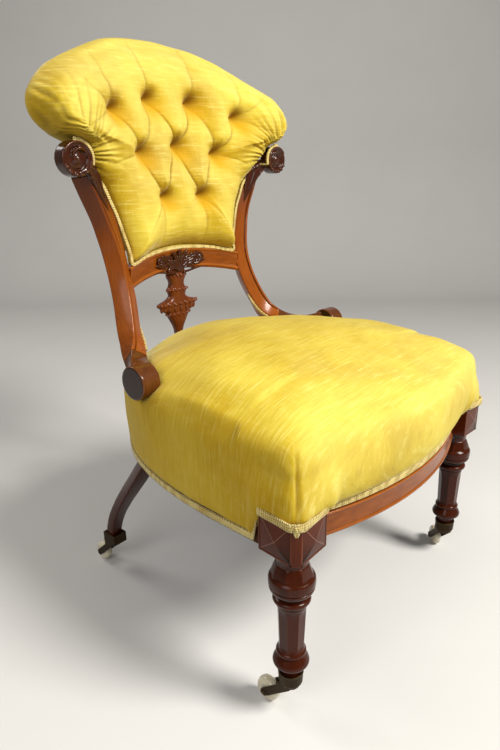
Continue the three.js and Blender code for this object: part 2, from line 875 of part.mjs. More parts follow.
// Splat: a flat carved baluster from the cross rail to the rear rail
const splat_front_inset = 21;       // ahead of the back of the seat frame
const splat_front_y = seat_depth - splat_front_inset;
const splat_thickness = 20;
const splat_top_z = cross_rail_crown_z - cross_rail_height - seat_gap;
const splat_foot_z = rail_top_z + seat_gap;
const splat_half_width = 44;
const splat_shares = [
  // height as a share of the splat's, half width as a share of the widest
  [0, 0.42],
  [0.1, 0.36],
  [0.25, 0.24],
  [0.4, 0.2],
  [0.472, 0.22],
  [0.52, 0.3],
  [0.572, 0.44],
  [0.63, 0.6],
  [0.642, 0.66],
  [0.655, 0.62],
  [0.68, 0.82],
  [0.705, 0.96],
  [0.72, 1],
  [0.735, 0.98],
  [0.745, 0.82],
  [0.76, 0.6],
  [0.785, 0.42],
  [0.815, 0.5],
  [0.83, 0.52],
  [0.845, 0.42],
  [0.87, 0.36],
  [0.9, 0.4],
  [0.93, 0.5],
  [0.965, 0.5],
  [1, 0.34],
];

function splat(grow = 0) {
  const height = splat_top_z - splat_foot_z;
  const right = splat_shares.map(([up, out]) =>
    [out * splat_half_width + grow, mix(splat_foot_z - grow, splat_top_z + grow, up)]);
  const left = right.map(([x, z]) => [-x, z]).reverse();
  const shape = shapeOf([...right, ...left]);
  const solid = extrude(shape, splat_thickness + grow * 2).rotateX(Math.PI / 2);
  return solid.translate(0, splat_front_y + splat_thickness + grow, 0);
}
const splat_piece = cut(splat(), crossRail(seat_gap));
add("splat", splat_piece, dark_walnut);

// Outline of the back's upholstery, from the bottom middle up to the top middle
const pad_inset = 0.6;
const back_outline_shares = [
  // half width as a share of the back's, height as a share of the back's rise, wrap
  [0.473, 0.436, 0],
  [0.503, 0.485, 0],
  [0.538, 0.538, 0],
  [0.575, 0.574, 0],
  [0.612, 0.61, 0],
  [0.652, 0.628, 0],
  [0.705, 0.65, 0.05],
  [0.746, 0.675, 0.15],
  [0.792, 0.7, 0.35],
  [0.82, 0.722, 0.7],
  [0.895, 0.74, 1],
  [0.952, 0.758, 1],
  [0.988, 0.78, 1],
  [1, 0.803, 1],
  [0.99, 0.825, 1],
  [0.965, 0.843, 1],
  [0.912, 0.868, 1],
  [0.826, 0.896, 1],
  [0.75, 0.914, 1],
  [0.665, 0.932, 1],
  [0.565, 0.95, 1],
  [0.455, 0.968, 1],
  [0.325, 0.985, 1],
  [0.17, 0.996, 1],
];
const bottom_edge_points = 3;
const back_centre_share = 0.72;

function backOutline() {
  const half = [];
  for (let i = 0; i <= bottom_edge_points; i += 1) {
    const x = cross_rail_arch_width * i / bottom_edge_points;
    half.push({ x, z: crossTopAt(x) + pad_inset, wrap: 0 });
  }
  for (const [across, up, wrap] of back_outline_shares) {
    half.push({ x: across * back_half_width, z: backZ(up), wrap });
  }
  const top = { x: 0, z: backZ(1), wrap: 1 };
  const other = half.slice(1).reverse().map((p) => ({ x: -p.x, z: p.z, wrap: p.wrap }));
  return [...half, top, ...other];
}
const back_outline = backOutline();

// Buttons of the back, and the folds that run between them
const button_radius = 9.5;
const button_height = 6;
const button_shares = [
  // across and up, as shares of the back's half width and rise; inward depth share
  [-0.516, 0.803, 0.5],
  [-0.177, 0.837, 0.62],
  [0.177, 0.837, 0.62],
  [0.516, 0.803, 0.5],
  [-0.323, 0.699, 0.56],
  [0, 0.719, 0.56],
  [0.323, 0.699, 0.56],
  [-0.161, 0.581, 0.52],
  [0.161, 0.581, 0.52],
];
const buttons = button_shares.map(([across, up, deep]) =>
  ({ x: across * back_half_width, z: backZ(up), deep }));
const fold_pairs = ["0 4", "4 1", "1 5", "5 2", "2 6", "6 3", "4 7", "7 5", "5 8", "8 6"];
const fold_end_shares = [
  // folds that run out from a button to the edge, as a step across and up
  [0, -0.2, 0.1],
  [0, -0.06, 0.16],
  [1, 0, 0.17],
  [2, 0, 0.17],
  [3, 0.06, 0.16],
  [3, 0.2, 0.1],
  [4, -0.3, -0.02],
  [6, 0.3, -0.02],
  [7, -0.1, -0.17],
  [8, 0.1, -0.17],
  [7, 0.02, -0.17],
];
const tuft_width = 27;
const tuft_depth = 20;
const fold_width = 12;
const fold_depth = 9;

function segmentDistance(x, z, a, b) {
  const dx = b.x - a.x;
  const dz = b.z - a.z;
  const share = THREE.MathUtils.clamp(((x - a.x) * dx + (z - a.z) * dz) / (dx * dx + dz * dz), 0, 1);
  return Math.hypot(x - a.x - dx * share, z - a.z - dz * share);
}
const folds = [
  ...fold_pairs.map((pair) => pair.split(" ").map((i) => buttons[i])),
  ...fold_end_shares.map(([i, dx, dz]) =>
    [buttons[i], { x: buttons[i].x + dx * back_half_width, z: buttons[i].z + dz * back_rise }]),
];

function tuftDip(x, z) {
  let dip = 0;
  for (const button of buttons) {
    const distance = Math.hypot(x - button.x, z - button.z);
    dip = Math.max(dip, tuft_depth * Math.exp(-((distance / tuft_width) ** 2)));
  }
  let fold = 0;
  for (const [a, b] of folds) {
    fold = Math.max(fold, fold_depth * Math.exp(-((segmentDistance(x, z, a, b) / fold_width) ** 2)));
  }
  return dip + fold * (1 - dip / tuft_depth);
}

// Edge of the pad in section: inset from the outline and depth behind the hollow plane,
// as shares of the padding's thickness
const braid_seat_shares = [0.125, -0.005];
const frame_edge_shares = [
  [0.586, -0.76],
  [0.3, -0.5],
  [0.14, -0.14],
  braid_seat_shares,
  [0.01, -0.005],
  [0.01, 0.06],
  [0.011, 0.12],
  [0.26, 0.13],
];
const wrapped_edge_shares = [
  [0.586, -0.72],
  [0.24, -0.4],
  [0.03, 0.03],
  [0, 0.2],
  [0.05, 0.43],
  [0.13, 0.52],
  [0.245, 0.48],
  [0.26, 0.13],
];
function bumpShare(inset) {
  return 1 - smooth(0.12, 0.19, inset);
}
const wing_shift_share = 0.17;      // how much farther back the wings wrap than the top
const back_centre = { x: 0, z: backZ(back_centre_share) };

function edgeRing(frame_share, wrapped_share) {
  return back_outline.map((p) => {
    const away = Math.hypot(p.x - back_centre.x, p.z - back_centre.z);
    const inset = mix(frame_share[0], wrapped_share[0], p.wrap) * back_pad_thickness;
    const wing = smooth(0.5, 0.9, Math.abs(p.x) / back_half_width);
    const shift = mix(-wing_shift_share, wing_shift_share, wing) * bumpShare(wrapped_share[0]);
    const depth = mix(frame_share[1], wrapped_share[1] + shift, p.wrap) * back_pad_thickness;
    const share = 1 - inset / away;
    const x = mix(back_centre.x, p.x, share);
    const z = mix(back_centre.z, p.z, share);
    return vec(x, backY(x, z) + depth, z);
  });
}

function fan(ring, start, centre_index) {
  return ring.map((_, i) => [start + i, start + (i + 1) % ring.length, centre_index]);
}

// A skin of rings that starts at one middle point and ends at another
function blown(first, rings, last) {
  const count = rings[0].length;
  const points = [first, ...rings.flat(), last];
  const triangles = [...fan(rings[0], 1, 0)];
  for (let r = 0; r + 1 < rings.length; r += 1) {
    triangles.push(...bandTriangles(count, 1 + r * count, 1 + (r + 1) * count).map(([a, b, c]) => [b, a, c]));
  }
  triangles.push(...fan(rings.at(-1), 1 + (rings.length - 1) * count, points.length - 1).map(([a, b, c]) => [b, a, c]));
  return closedSurface(points, triangles);
}
const back_ring_shares = [0.24, 0.45, 0.65, 0.84];

function padFaceY(x, z, share) {
  const crown = mix(1, 0.85, share * share) * back_pad_thickness;
  const near_edge = 1 - smooth(0.85, 1.05, share);
  return backY(x, z) - crown + tuftDip(x, z) * near_edge;
}

function backPad() {
  const rim = edgeRing(frame_edge_shares[0], wrapped_edge_shares[0]);
  const face = back_ring_shares.map((share) => rim.map((p) => {
    const x = mix(back_centre.x, p.x, share);
    const z = mix(back_centre.z, p.z, share);
    return vec(x, padFaceY(x, z, share), z);
  }));
  const edges = frame_edge_shares.map((edge, i) => edgeRing(edge, wrapped_edge_shares[i]));
  edges[0].forEach((p) => {
    p.y = padFaceY(p.x, p.z, 1);
  });
  const inner = edges.at(-1);
  const rear = [0.5].map((share) => inner.map((p) => {
    const x = mix(back_centre.x, p.x, share);
    const z = mix(back_centre.z, p.z, share);
    return vec(x, backY(x, z) + frame_edge_shares.at(-1)[1] * back_pad_thickness, z);
  }));
  const front_point = vec(0, padFaceY(0, back_centre.z, 0), back_centre.z);
  const rear_point = vec(0, backY(0, back_centre.z) + frame_edge_shares.at(-1)[1] * back_pad_thickness, back_centre.z);
  return blown(front_point, [...face, ...edges, ...rear], rear_point);
}

function buttonSolid({ x, z, deep }, grow = 0) {
  const profile = [
    [0, -grow],
    [button_radius * 0.8 + grow, -grow],
    [button_radius + grow, button_height * 0.35],
    [button_radius * 0.9 + grow, button_height * 0.7 + grow],
    [0, button_height + grow],
  ];
  const solid = turned(profile, 10).rotateX(Math.PI / 2 - Math.atan(back_lean));
  solid.rotateZ(-Math.atan(x / back_hollow_radius) * 0.7);
  return solid.translate(x, backY(x, z) - deep * back_pad_thickness, z);
}

function socket({ x, z, deep }) {
  const profile = [
    [0, -seat_gap],
    [button_radius * 1.14, -seat_gap],
    [button_radius * 1.6, back_pad_thickness],
    [0, back_pad_thickness],
  ];
  const solid = turned(profile, 7).rotateX(Math.PI / 2 - Math.atan(back_lean));
  solid.rotateZ(-Math.atan(x / back_hollow_radius) * 0.7);
  return solid.translate(x, backY(x, z) - deep * back_pad_thickness, z);
}
const wood_cutters = [
  ...upright_cutters,
  ...bothHands(shoulderScroll(seat_gap)),
];

// Plainer forms of the same wood, for cutting the upholstery round it
function plainVolute() {
  const r = volute_radius + seat_gap * 2;
  const half = volute_depth / 2 + seat_gap * 2;
  const disc = turned([[0, -half], [r, -half], [r, half], [0, half]], 14);
  return disc.rotateX(-Math.PI / 2).translate(volute_x, volute_y, volute_z);
}
const soft_cutters = [
  ...bothHands(uprightBar(0, foot_joint_share / 3, 8, seat_gap, seat_gap)),
  ...bothHands(plainVolute()),
  ...bothHands(voluteNeck(seat_gap * 2)),
];
add("back_pad", cut(backPad(), ...buttons.map(socket), ...soft_cutters), velvet);
buttons.forEach((button, i) => add(`button_${i + 1}`, buttonSolid(button), velvet));

// Braid along the lower edge of the back: up one upright, and down to the cross rail
const braid_thickness_share = 0.05;
const braid_gap_share = 0.006;

function backBraid() {
  const count = back_outline.length;
  const inner = braid_seat_shares[0] - braid_gap_share;
  const front = -braid_thickness_share - 2 * braid_gap_share;
  const back = braid_seat_shares[1] - braid_gap_share;
  const corners = [[inner, front], [0.012, front], [0.012, back], [inner, back]];
  const rings = corners.map((corner) => edgeRing(corner, corner));
  const kept = [];
  for (let k = 0; k < count; k += 1) {
    const i = (k + Math.floor(count / 2)) % count;
    if (back_outline[i].wrap < 0.1) {
      kept.push(rings.map((ring) => ring[i]));
    }
  }
  return loft(kept);
}
add("back_braid", cut(backBraid(), ...wood_cutters, crossRail(seat_gap)), braid);

// Crest rail: the hidden bow of wood inside the top of the back
const crest_width = 23;
const crest_front_share = 0.225;
const crest_back_share = 0.46;
const crest_shares = [
  [0.62, 0.652],
  [0.62, 0.685],
  [0.64, 0.715],
  [0.69, 0.742],
  [0.76, 0.768],
  [0.8, 0.797],
  [0.775, 0.833],
  [0.705, 0.862],
  [0.59, 0.886],
  [0.44, 0.91],
  [0.25, 0.932],
  [0, 0.94],
];

function crestRail() {
  const half = crest_shares.map(([across, up]) => vec(across * back_half_width, 0, backZ(up)));
  const line = [...half, ...half.slice(0, -1).reverse().map((p) => vec(-p.x, 0, p.z))];
  const rings = line.map((p, i) => {
    const before = line[Math.max(i - 1, 0)];
    const after = line[Math.min(i + 1, line.length - 1)];
    const along = after.clone().sub(before).normalize();
    const out = vec(along.z, 0, -along.x).multiplyScalar(crest_width / 2);
    const a = p.clone().add(out);
    const b = p.clone().sub(out);
    const at = (q, share) => vec(q.x, backY(q.x, q.z) + share * back_pad_thickness, q.z);
    return [at(a, crest_front_share), at(b, crest_front_share), at(b, crest_back_share), at(a, crest_back_share)];
  });
  return loft(rings);
}
const crest_rail = cut(crestRail(), ...wood_cutters);
add("crest_rail", crest_rail, beech);

// Outside back: the panel that closes the back from behind
const outside_back_front_share = 0.493;
const outside_back_thickness_share = 0.1;
const outside_back_inset_share = 0.275;

function outsideBack() {
  const front = [outside_back_inset_share, outside_back_front_share];
  const rear = [outside_back_inset_share, outside_back_front_share + outside_back_thickness_share];
  const front_ring = edgeRing(front, front);
  const rear_ring = edgeRing(rear, rear);
  const inward = (ring, share, depth) => ring.map((p) => {
    const x = mix(back_centre.x, p.x, share);
    const z = mix(back_centre.z, p.z, share);
    return vec(x, backY(x, z) + depth * back_pad_thickness, z);
  });
  const shares = [0.4, 0.75];
  const front_rings = shares.map((share) => inward(front_ring, share, front[1]));
  const rear_rings = shares.map((share) => inward(rear_ring, share, rear[1])).reverse();
  const start = vec(0, backY(0, back_centre.z) + front[1] * back_pad_thickness, back_centre.z);
  const end = vec(0, backY(0, back_centre.z) + rear[1] * back_pad_thickness, back_centre.z);
  return blown(start, [...front_rings, front_ring, rear_ring, ...rear_rings], end);
}
add("outside_back", cut(outsideBack(), ...wood_cutters, crossRail(seat_gap)), velvet);

// Seat upholstery: the edge of the seat in plan, at the rails and at its fullest

const seat_centre = { x: 0, y: seat_middle_y };
const braid_height = 9;
const braid_thickness = 3;
const braid_drop = 0.8;             // between the top of the braid and the foot of the velvet
const skirt_fit = 0.4;              // velvet over the curved rails
const skirt_thickness = 5;
const front_skirt_z = rail_bottom_z + front_rail_show_height + braid_height + seat_gap * 2;
const side_skirt_z = rail_bottom_z + braid_height + seat_gap * 2;
const pad_front_bulge = 10;         // how far the front bulges ahead of the rail
const pad_corner_x = 246;
const pad_corner_y = -21;
const pad_corner_round = 9;
const pad_side_bulge = 6;
const pad_rear_bulge = 9;
const pad_front_power = 1.7;

function frameNormal(x, y) {
  if (y < seat_widest_y) {
    return { x: 1, y: 0 };
  }
  const share = roundShareAt(Math.min(y, seat_depth - weld_overlap));
  const a = roundPoint(Math.max(share - 0.01, 0));
  const b = roundPoint(Math.min(share + 0.01, 1));
  const length = Math.hypot(b.x - a.x, b.y - a.y);
  return { x: (b.y - a.y) / length, y: -(b.x - a.x) / length };
}

// Points round the left half of the seat's edge, front middle to rear middle. Each has
// the frame's face, the way out from it, the foot of the velvet and its fullest point.
function seatEdgeHalf() {
  const points = [];
  const frontFull = (share) =>
    ({ x: share * pad_corner_x, y: mix(-front_bow - pad_front_bulge, pad_corner_y, share ** pad_front_power) });
  for (const share of front_x_shares) {
    const x = share * bow_half;
    const y = frontBowAt(x) + rail_ledge_depth;
    const full = frontFull(x / pad_corner_x);
    points.push({ x, y, out: { x: 0, y: -1 }, foot: front_skirt_z, full, rear: 0 });
  }
  // Over the leg block the foot of the velvet rises to its top
  const half_block = leg_block_size / 2;
  const top_foot = rail_top_z + braid_height + seat_gap * 2;
  const corner_points = [
    {
      x: bow_half - braid_thickness,
      y: frontBowAt(bow_half) + rail_ledge_depth,
      out: { x: 0, y: -1 },
      full: frontFull(0.81),
    },
    {
      x: bow_half + half_block * 0.25,
      y: -half_block * 0.68,
      out: { x: 0, y: -1 },
      full: frontFull(0.88),
    },
    {
      x: front_leg_half_spread + half_block * 0.45,
      y: -half_block * 0.64,
      out: { x: 0.7, y: -0.7 },
      full: { x: pad_corner_x - pad_corner_round * 0.3, y: pad_corner_y + pad_corner_round * 0.3 },
    },
    {
      x: front_leg_half_spread + half_block * 0.7,
      y: half_block * 0.1,
      out: { x: 1, y: 0 },
      full: { x: pad_corner_x + seat_gap * 3, y: pad_corner_y + pad_corner_round * 2 },
    },
    {
      x: seat_half_width,
      y: half_block + braid_thickness / 2,
      out: { x: 1, y: 0 },
      full: { x: pad_corner_x, y: half_block + braid_thickness / 2 },
    },
  ];
  for (const point of corner_points) {
    points.push({ ...point, foot: top_foot, rear: 0 });
  }
  const side_end = rear_leg_top_y;
  const pushFrame = (x, y) => {
    const out = frameNormal(x, y);
    const rear = smooth(seat_widest_y, side_end, y);
    const bulge = mix(pad_side_bulge, pad_rear_bulge, rear);
    const full = { x: x + out.x * bulge, y: y + out.y * bulge };
    points.push({ x, y, out, foot: side_skirt_z, full, rear });
  };
  for (const share of side_y_shares) {
    const y = sideStation(share);
    pushFrame(frameHalfWidthAt(y), y);
  }
  const first = roundShareAt(side_end);
  for (const share of round_shares) {
    if (share > first) {
      const point = roundPoint(share);
      pushFrame(point.x, point.y);
    }
  }
  return points;
}

function bothSides(half) {
  const other = half.slice(1, -1).reverse().map((p) => ({
    ...p,
    x: -p.x,
    out: { x: -p.out.x, y: p.out.y },
    full: { x: -p.full.x, y: p.full.y },
  }));
  return [...half, ...other];
}
const seat_edge = bothSides(seatEdgeHalf());

function seatRing(at) {
  return seat_edge.map((p) => at(p));
}

function offsetPoint(p, distance, z) {
  return vec(p.x + p.out.x * distance, p.y + p.out.y * distance, z);
}

function towardMiddle(point, share, z) {
  return vec(mix(seat_centre.x, point.x, share), mix(seat_centre.y, point.y, share), z);
}

// Hessian over the springs: flat over the middle, dipping to the rails
const hessian_thickness = 1.5;
const spring_height = 76;
const webbing_thickness = 1.6;
const webbing_top_z = rail_bottom_z - seat_gap;
const spring_foot_z = webbing_top_z + seat_gap;
const hessian_top_z = spring_foot_z + spring_height + seat_gap;
const hessian_flat_share = 0.66;
const hessian_rim_share = 0.86;

function hessianZ(share, lift) {
  return mix(hessian_top_z, rail_top_z + seat_gap, smooth(hessian_flat_share, hessian_rim_share, share)) + lift;
}
const hessian_shares = [0.66, 0.86, 0.93];

function seatHessian() {
  const ringAt = (share, lift) => seatRing((p) => towardMiddle(p, share, hessianZ(share, lift)));
  const under = hessian_shares.map((share) => ringAt(share, 0));
  const over = hessian_shares.map((share) => ringAt(share, hessian_thickness)).reverse();
  const start = vec(0, seat_middle_y, hessianZ(0, 0));
  const end = vec(0, seat_middle_y, hessianZ(0, hessian_thickness));
  return blown(start, [...under, ...over], end);
}

// The pad: an underside over the hessian, a skirt down the rails, drawn-in sides and a crown
const under_shares = [0.66, 0.86];
const side_levels = [
  // share of the way up from the rails' top to the shoulder, share of the way out
  [-0.1, 0.35],
  [0.12, 0.78],
  [0.4, 1],
  [0.68, 0.96],
  [0.88, 0.68],
];
const shoulder_insets = [
  // inset from the fullest line as a share of its distance, rise toward the crown
  [0.955, 0.02],
  [0.91, 0.14],
];
const crown_shares = [0.8, 0.64, 0.46, 0.25];
const crown_power = 2.3;
const crown_edge_rise = 6;          // rise from the shoulder to the start of the crown
const seat_side_lift = 9;           // how much higher the side edge of the seat is by the uprights
const seat_back_drop = 20;          // how much lower its back edge is

function shoulderZ(p) {
  const back = smooth(rear_leg_top_y, seat_depth, p.y);
  return seat_edge_z + seat_side_lift * p.rear * (1 - back) - seat_back_drop * back;
}

function crownZ(p, share) {
  const edge = shoulderZ(p) + crown_edge_rise;
  return seat_crown_z - (seat_crown_z - edge) * share ** crown_power;
}

function seatPad() {
  const lift = hessian_thickness + seat_gap;
  const under = under_shares.map((share) => seatRing((p) => towardMiddle(p, share, hessianZ(share, lift))));
  const inner_top = seatRing((p) => offsetPoint(p, skirt_fit, rail_top_z + seat_gap + lift));
  const inner_foot = seatRing((p) => offsetPoint(p, skirt_fit, p.foot));
  const outer_foot = seatRing((p) => offsetPoint(p, skirt_thickness, p.foot));
  const sides = side_levels.map(([up, out]) => seatRing((p) => {
    const foot = offsetPoint(p, skirt_thickness, 0);
    const z = Math.max(mix(rail_top_z, shoulderZ(p), up), p.foot + braid_height * 0.4);
    return vec(mix(foot.x, p.full.x, out), mix(foot.y, p.full.y, out), z);
  }));
  const shoulders = shoulder_insets.map(([inset, rise]) => seatRing((p) => {
    const z = mix(shoulderZ(p), crownZ(p, inset), 0.5 + rise);
    return towardMiddle(p.full, inset, z);
  }));
  const crown = crown_shares.map((share) => seatRing((p) => towardMiddle(p.full, share, crownZ(p, share))));
  const start = vec(0, seat_middle_y, hessianZ(0, lift));
  const end = vec(0, seat_middle_y, seat_crown_z);
  return blown(start, [...under, inner_top, inner_foot, outer_foot, ...sides, ...shoulders, ...crown], end);
}

// Braid round the foot of the velvet: along the front rail, over each leg block and
// round the sides and back
function seatBraid(grow = 0) {
  const rings = seat_edge.map((p) => {
    const z0 = p.foot - seat_gap * 2 - braid_height;
    const z1 = z0 + braid_height - braid_drop + grow;
    const near = skirt_fit + (p.foot > rail_top_z ? braid_drop : 0) - grow;
    const far = near + braid_thickness + grow * 2;
    return [offsetPoint(p, near, z0), offsetPoint(p, far, z0), offsetPoint(p, far, z1), offsetPoint(p, near, z1)];
  });
  return loft(rings, { looped: true });
}

function blockCutter(grow = seat_gap) {
  const half = leg_block_size / 2 + grow + boss_height;
  const inner = leg_block_size / 2 + grow;
  const x = front_leg_half_spread;
  return box(x - inner, x + half, -half, inner, rail_bottom_z - overrun * 4, rail_top_z + grow);
}
const block_cutters = bothHands(blockCutter());
// Plainer forms of the uprights' feet, for cutting the upholstery round them, as shares
// of the way down to the joint
const foot_cut_from_share = 0.625;
const foot_cut_to_share = 23 / 24;
function plainFoot() {
  const r = foot_roll_radius + seat_gap * 2;
  const half = foot_roll_length / 2 + seat_gap * 2;
  const roll = turned([[0, -half], [r, -half], [r, half], [0, half]], 18).rotateY(Math.PI / 2);
  roll.translate(foot_roll_x, foot_roll_y, foot_roll_z);
  const from = foot_joint_share * foot_cut_from_share;
  const upper = uprightBar(from, foot_joint_share, 9, seat_gap, seat_gap);
  const lower = uprightBar(foot_joint_share + joint_gap_share, 0.985, 8, seat_gap, seat_gap);
  const between = uprightBar(foot_joint_share * foot_cut_to_share, foot_joint_share + joint_gap_share * 4, 1, seat_gap, seat_gap);
  return join(upper, between, lower, roll, stump(seat_gap));
}
const foot_cutters = bothHands(plainFoot());
const splat_cutter = splat(seat_gap);
const splat_foot_half = splat_half_width * splat_shares[0][1] + seat_gap;
const splat_rear_y = splat_front_y + splat_thickness + seat_gap;
const plain_splat_cutter = box(
  -splat_foot_half, splat_foot_half, splat_front_y - seat_gap, splat_rear_y, rail_top_z - overrun, seat_crown_z);

const frame_cutters = [
  frontRail(seat_gap),
  ...bothHands(sideRail(seat_gap)),
  rearRailStrip(seat_gap),
  ...bothHands(rearPost(seat_gap)),
];
add("seat_hessian", cut(seatHessian(), ...foot_cutters, splat_cutter), hessian);
const seat_pad_cutters = [...frame_cutters, ...foot_cutters, plain_splat_cutter, seatBraid(seat_gap)];
add("seat_pad", cut(seatPad(), ...seat_pad_cutters), velvet);
add("seat_braid", cut(seatBraid(), ...frame_cutters, ...block_cutters), braid);

// Webbing under the frame: straps both ways, tacked to the undersides of the rails
const strap_width = 50;
const straps_along = 3;
const straps_across = 4;
const strap_pitch_x = 100;
const strap_pitch_y = 88;
const strap_first_y = 52;
const webbing_end_inset = 6;

function webbing() {
  const z1 = rail_bottom_z - seat_gap;
  const z0 = z1 - webbing_thickness;
  const straps = [];
  for (let i = 0; i < straps_along; i += 1) {
    const x = (i - (straps_along - 1) / 2) * strap_pitch_x;
    const far = rearEdgeY(Math.abs(x) + strap_width / 2) - webbing_end_inset;
    const near = frontBowAt(Math.abs(x) + strap_width / 2) + webbing_end_inset;
    straps.push(box(x - strap_width / 2, x + strap_width / 2, near, far, z0, z1));
  }
  for (let i = 0; i < straps_across; i += 1) {
    const y = strap_first_y + i * strap_pitch_y;
    const half = frameHalfWidthAt(y + strap_width / 2) - webbing_end_inset;
    straps.push(box(-half, half, y - strap_width / 2, y + strap_width / 2, z0, z1));
  }
  return join(...straps);
}

function rearEdgeY(x) {
  const share = (1 - (x / seat_half_width) ** rear_round_exponent) ** (1 / rear_round_exponent);
  return seat_widest_y + (seat_depth - seat_widest_y) * share;
}

// Back leg, grown, as a cutter for what lies under the frame
function rearLegCutter() {
  const half = rear_post_size / 2 + seat_gap * 4;
  const normal = frameNormal(frameHalfWidthAt(rear_leg_top_y), rear_leg_top_y);
  const x = frameHalfWidthAt(rear_leg_top_y) - normal.x * rear_post_size / 2;
  const y = rear_leg_top_y - normal.y * rear_post_size / 2;
  const solid = box(-half, half, -half, half * 1.6, rail_bottom_z - overrun * 3, rail_bottom_z);
  return solid.rotateZ(Math.atan2(normal.y, normal.x)).translate(x, y, 0);
}
const under_cutters = bothHands(rearLegCutter());
add("seat_webbing", cut(webbing(), ...under_cutters, ...block_cutters), hessian);

// Springs: waisted coils of one wire each, standing on the webbing under the hessian
const spring_wire = 3.4;
const spring_curls = 5;
const spring_steps = 8;
const spring_sides = 5;
const spring_end_radius = 31;
const spring_waist_radius = 22;
const spring_places = [
  [0, seat_middle_y],
  [-strap_pitch_x, strap_first_y + strap_pitch_y / 2],
  [strap_pitch_x, strap_first_y + strap_pitch_y / 2],
  [-strap_pitch_x, strap_first_y + strap_pitch_y * 2.2],
  [strap_pitch_x, strap_first_y + strap_pitch_y * 2.2],
];

function springPoint(turns) {
  const share = turns / spring_curls;
  const rise = spring_height - spring_wire;
  const radius = mix(spring_waist_radius, spring_end_radius, (2 * share - 1) ** 2);
  const angle = turns * Math.PI * 2;
  const z = spring_foot_z + spring_wire / 2 + rise * share;
  return vec(radius * Math.cos(angle), radius * Math.sin(angle), z);
}

function spring(x, y) {
  const count = spring_curls * spring_steps;
  const rings = [];
  const step = 1 / spring_steps;
  for (let i = 0; i <= count; i += 1) {
    const turns = i * step;
    const at = springPoint(turns);
    const along = springPoint(turns + step / 4).sub(springPoint(turns - step / 4)).normalize();
    const out = vec(at.x, at.y, 0).normalize();
    out.addScaledVector(along, -out.dot(along)).normalize();
    const up = along.clone().cross(out).normalize();
    const ring = [];
    for (let k = 0; k < spring_sides; k += 1) {
      const angle = k / spring_sides * Math.PI * 2;
      const p = at.clone();
      p.addScaledVector(out, Math.cos(angle) * spring_wire / 2);
      p.addScaledVector(up, Math.sin(angle) * spring_wire / 2);
      ring.push(p);
    }
    rings.push(ring);
  }
  return loft(rings).translate(x, y, 0);
}
spring_places.forEach(([x, y], i) => add(`spring_${i + 1}`, spring(x, y), spring_steel));
function springGap() {
  let least = Infinity;
  const fine = spring_steps * 3;
  const total = spring_curls * fine;
  for (let i = 0; i <= total; i += 1) {
    for (let j = i + Math.round(fine * 0.6); j <= total; j += 1) {
      const gap = springPoint(i / fine).distanceTo(springPoint(j / fine)) - spring_wire;
      least = Math.min(least, gap);
    }
  }
  return least;
}
console.log(`least gap between the curls of a spring: ${springGap().toFixed(2)} mm`);

// Dust cover under the webbing
const lining_thickness = 1.2;

function dustCover() {
  const z1 = rail_bottom_z - seat_gap * 2 - webbing_thickness;
  const outline = seat_edge.map((p) => offsetPoint(p, -webbing_end_inset, 0));
  return plate(outline, z1 - lining_thickness, z1);
}
add("dust_cover", cut(dustCover(), ...under_cutters, ...block_cutters), lining);

// Castors: a socket on the leg, a swivelling horn with two cheeks, an axle pin and a
// porcelain wheel that trails behind the swivel
const wheel_radius = 17;
const wheel_width = 15;
const axle_radius = 2.6;
const axle_clearance = 0.1;
const wheel_bore = axle_radius + axle_clearance;
const castor_trail = 36;
const cheek_thickness = 3;
const cheek_gap = 1;
const horn_plate_radius = 12.5;
const horn_plate_thickness = 4;
const horn_web_thickness = 4.5;
const horn_arm_share = 0.42;        // root of the cheeks, as a share of the trail
const horn_boss_share = 0.32;       // of the wheel's radius
const socket_wall = 2.6;
const socket_floor = 5;
const socket_height = 19;
const pivot_radius = 3.5;
const wheel_profile_shares = [
  // radius as a share of the wheel's, half width as a share of the wheel's
  [0.62, 1],
  [0.88, 0.84],
  [1, 0.25],
];
const socket_floor_z = leg_foot_z - seat_gap - socket_floor;
const horn_top_z = socket_floor_z - seat_gap;

function wheel() {
  const half = wheel_width / 2;
  const right = wheel_profile_shares.map(([out, wide]) => [out * wheel_radius, wide * half]);
  const left = [...right].reverse().map(([r, w]) => [r, -w]);
  const profile = [[wheel_bore, half * 0.9], ...right, ...left, [wheel_bore, -half * 0.9], [wheel_bore, half * 0.9]];
  return turned(profile, 20).rotateY(Math.PI / 2).translate(0, castor_trail, wheel_radius);
}

function axle() {
  const half = wheel_width / 2 + cheek_gap + cheek_thickness + axle_radius * 0.4;
  const profile = [[0, -half], [axle_radius, -half], [axle_radius, half], [0, half]];
  return turned(profile, 12).rotateY(Math.PI / 2).translate(0, castor_trail, wheel_radius);
}

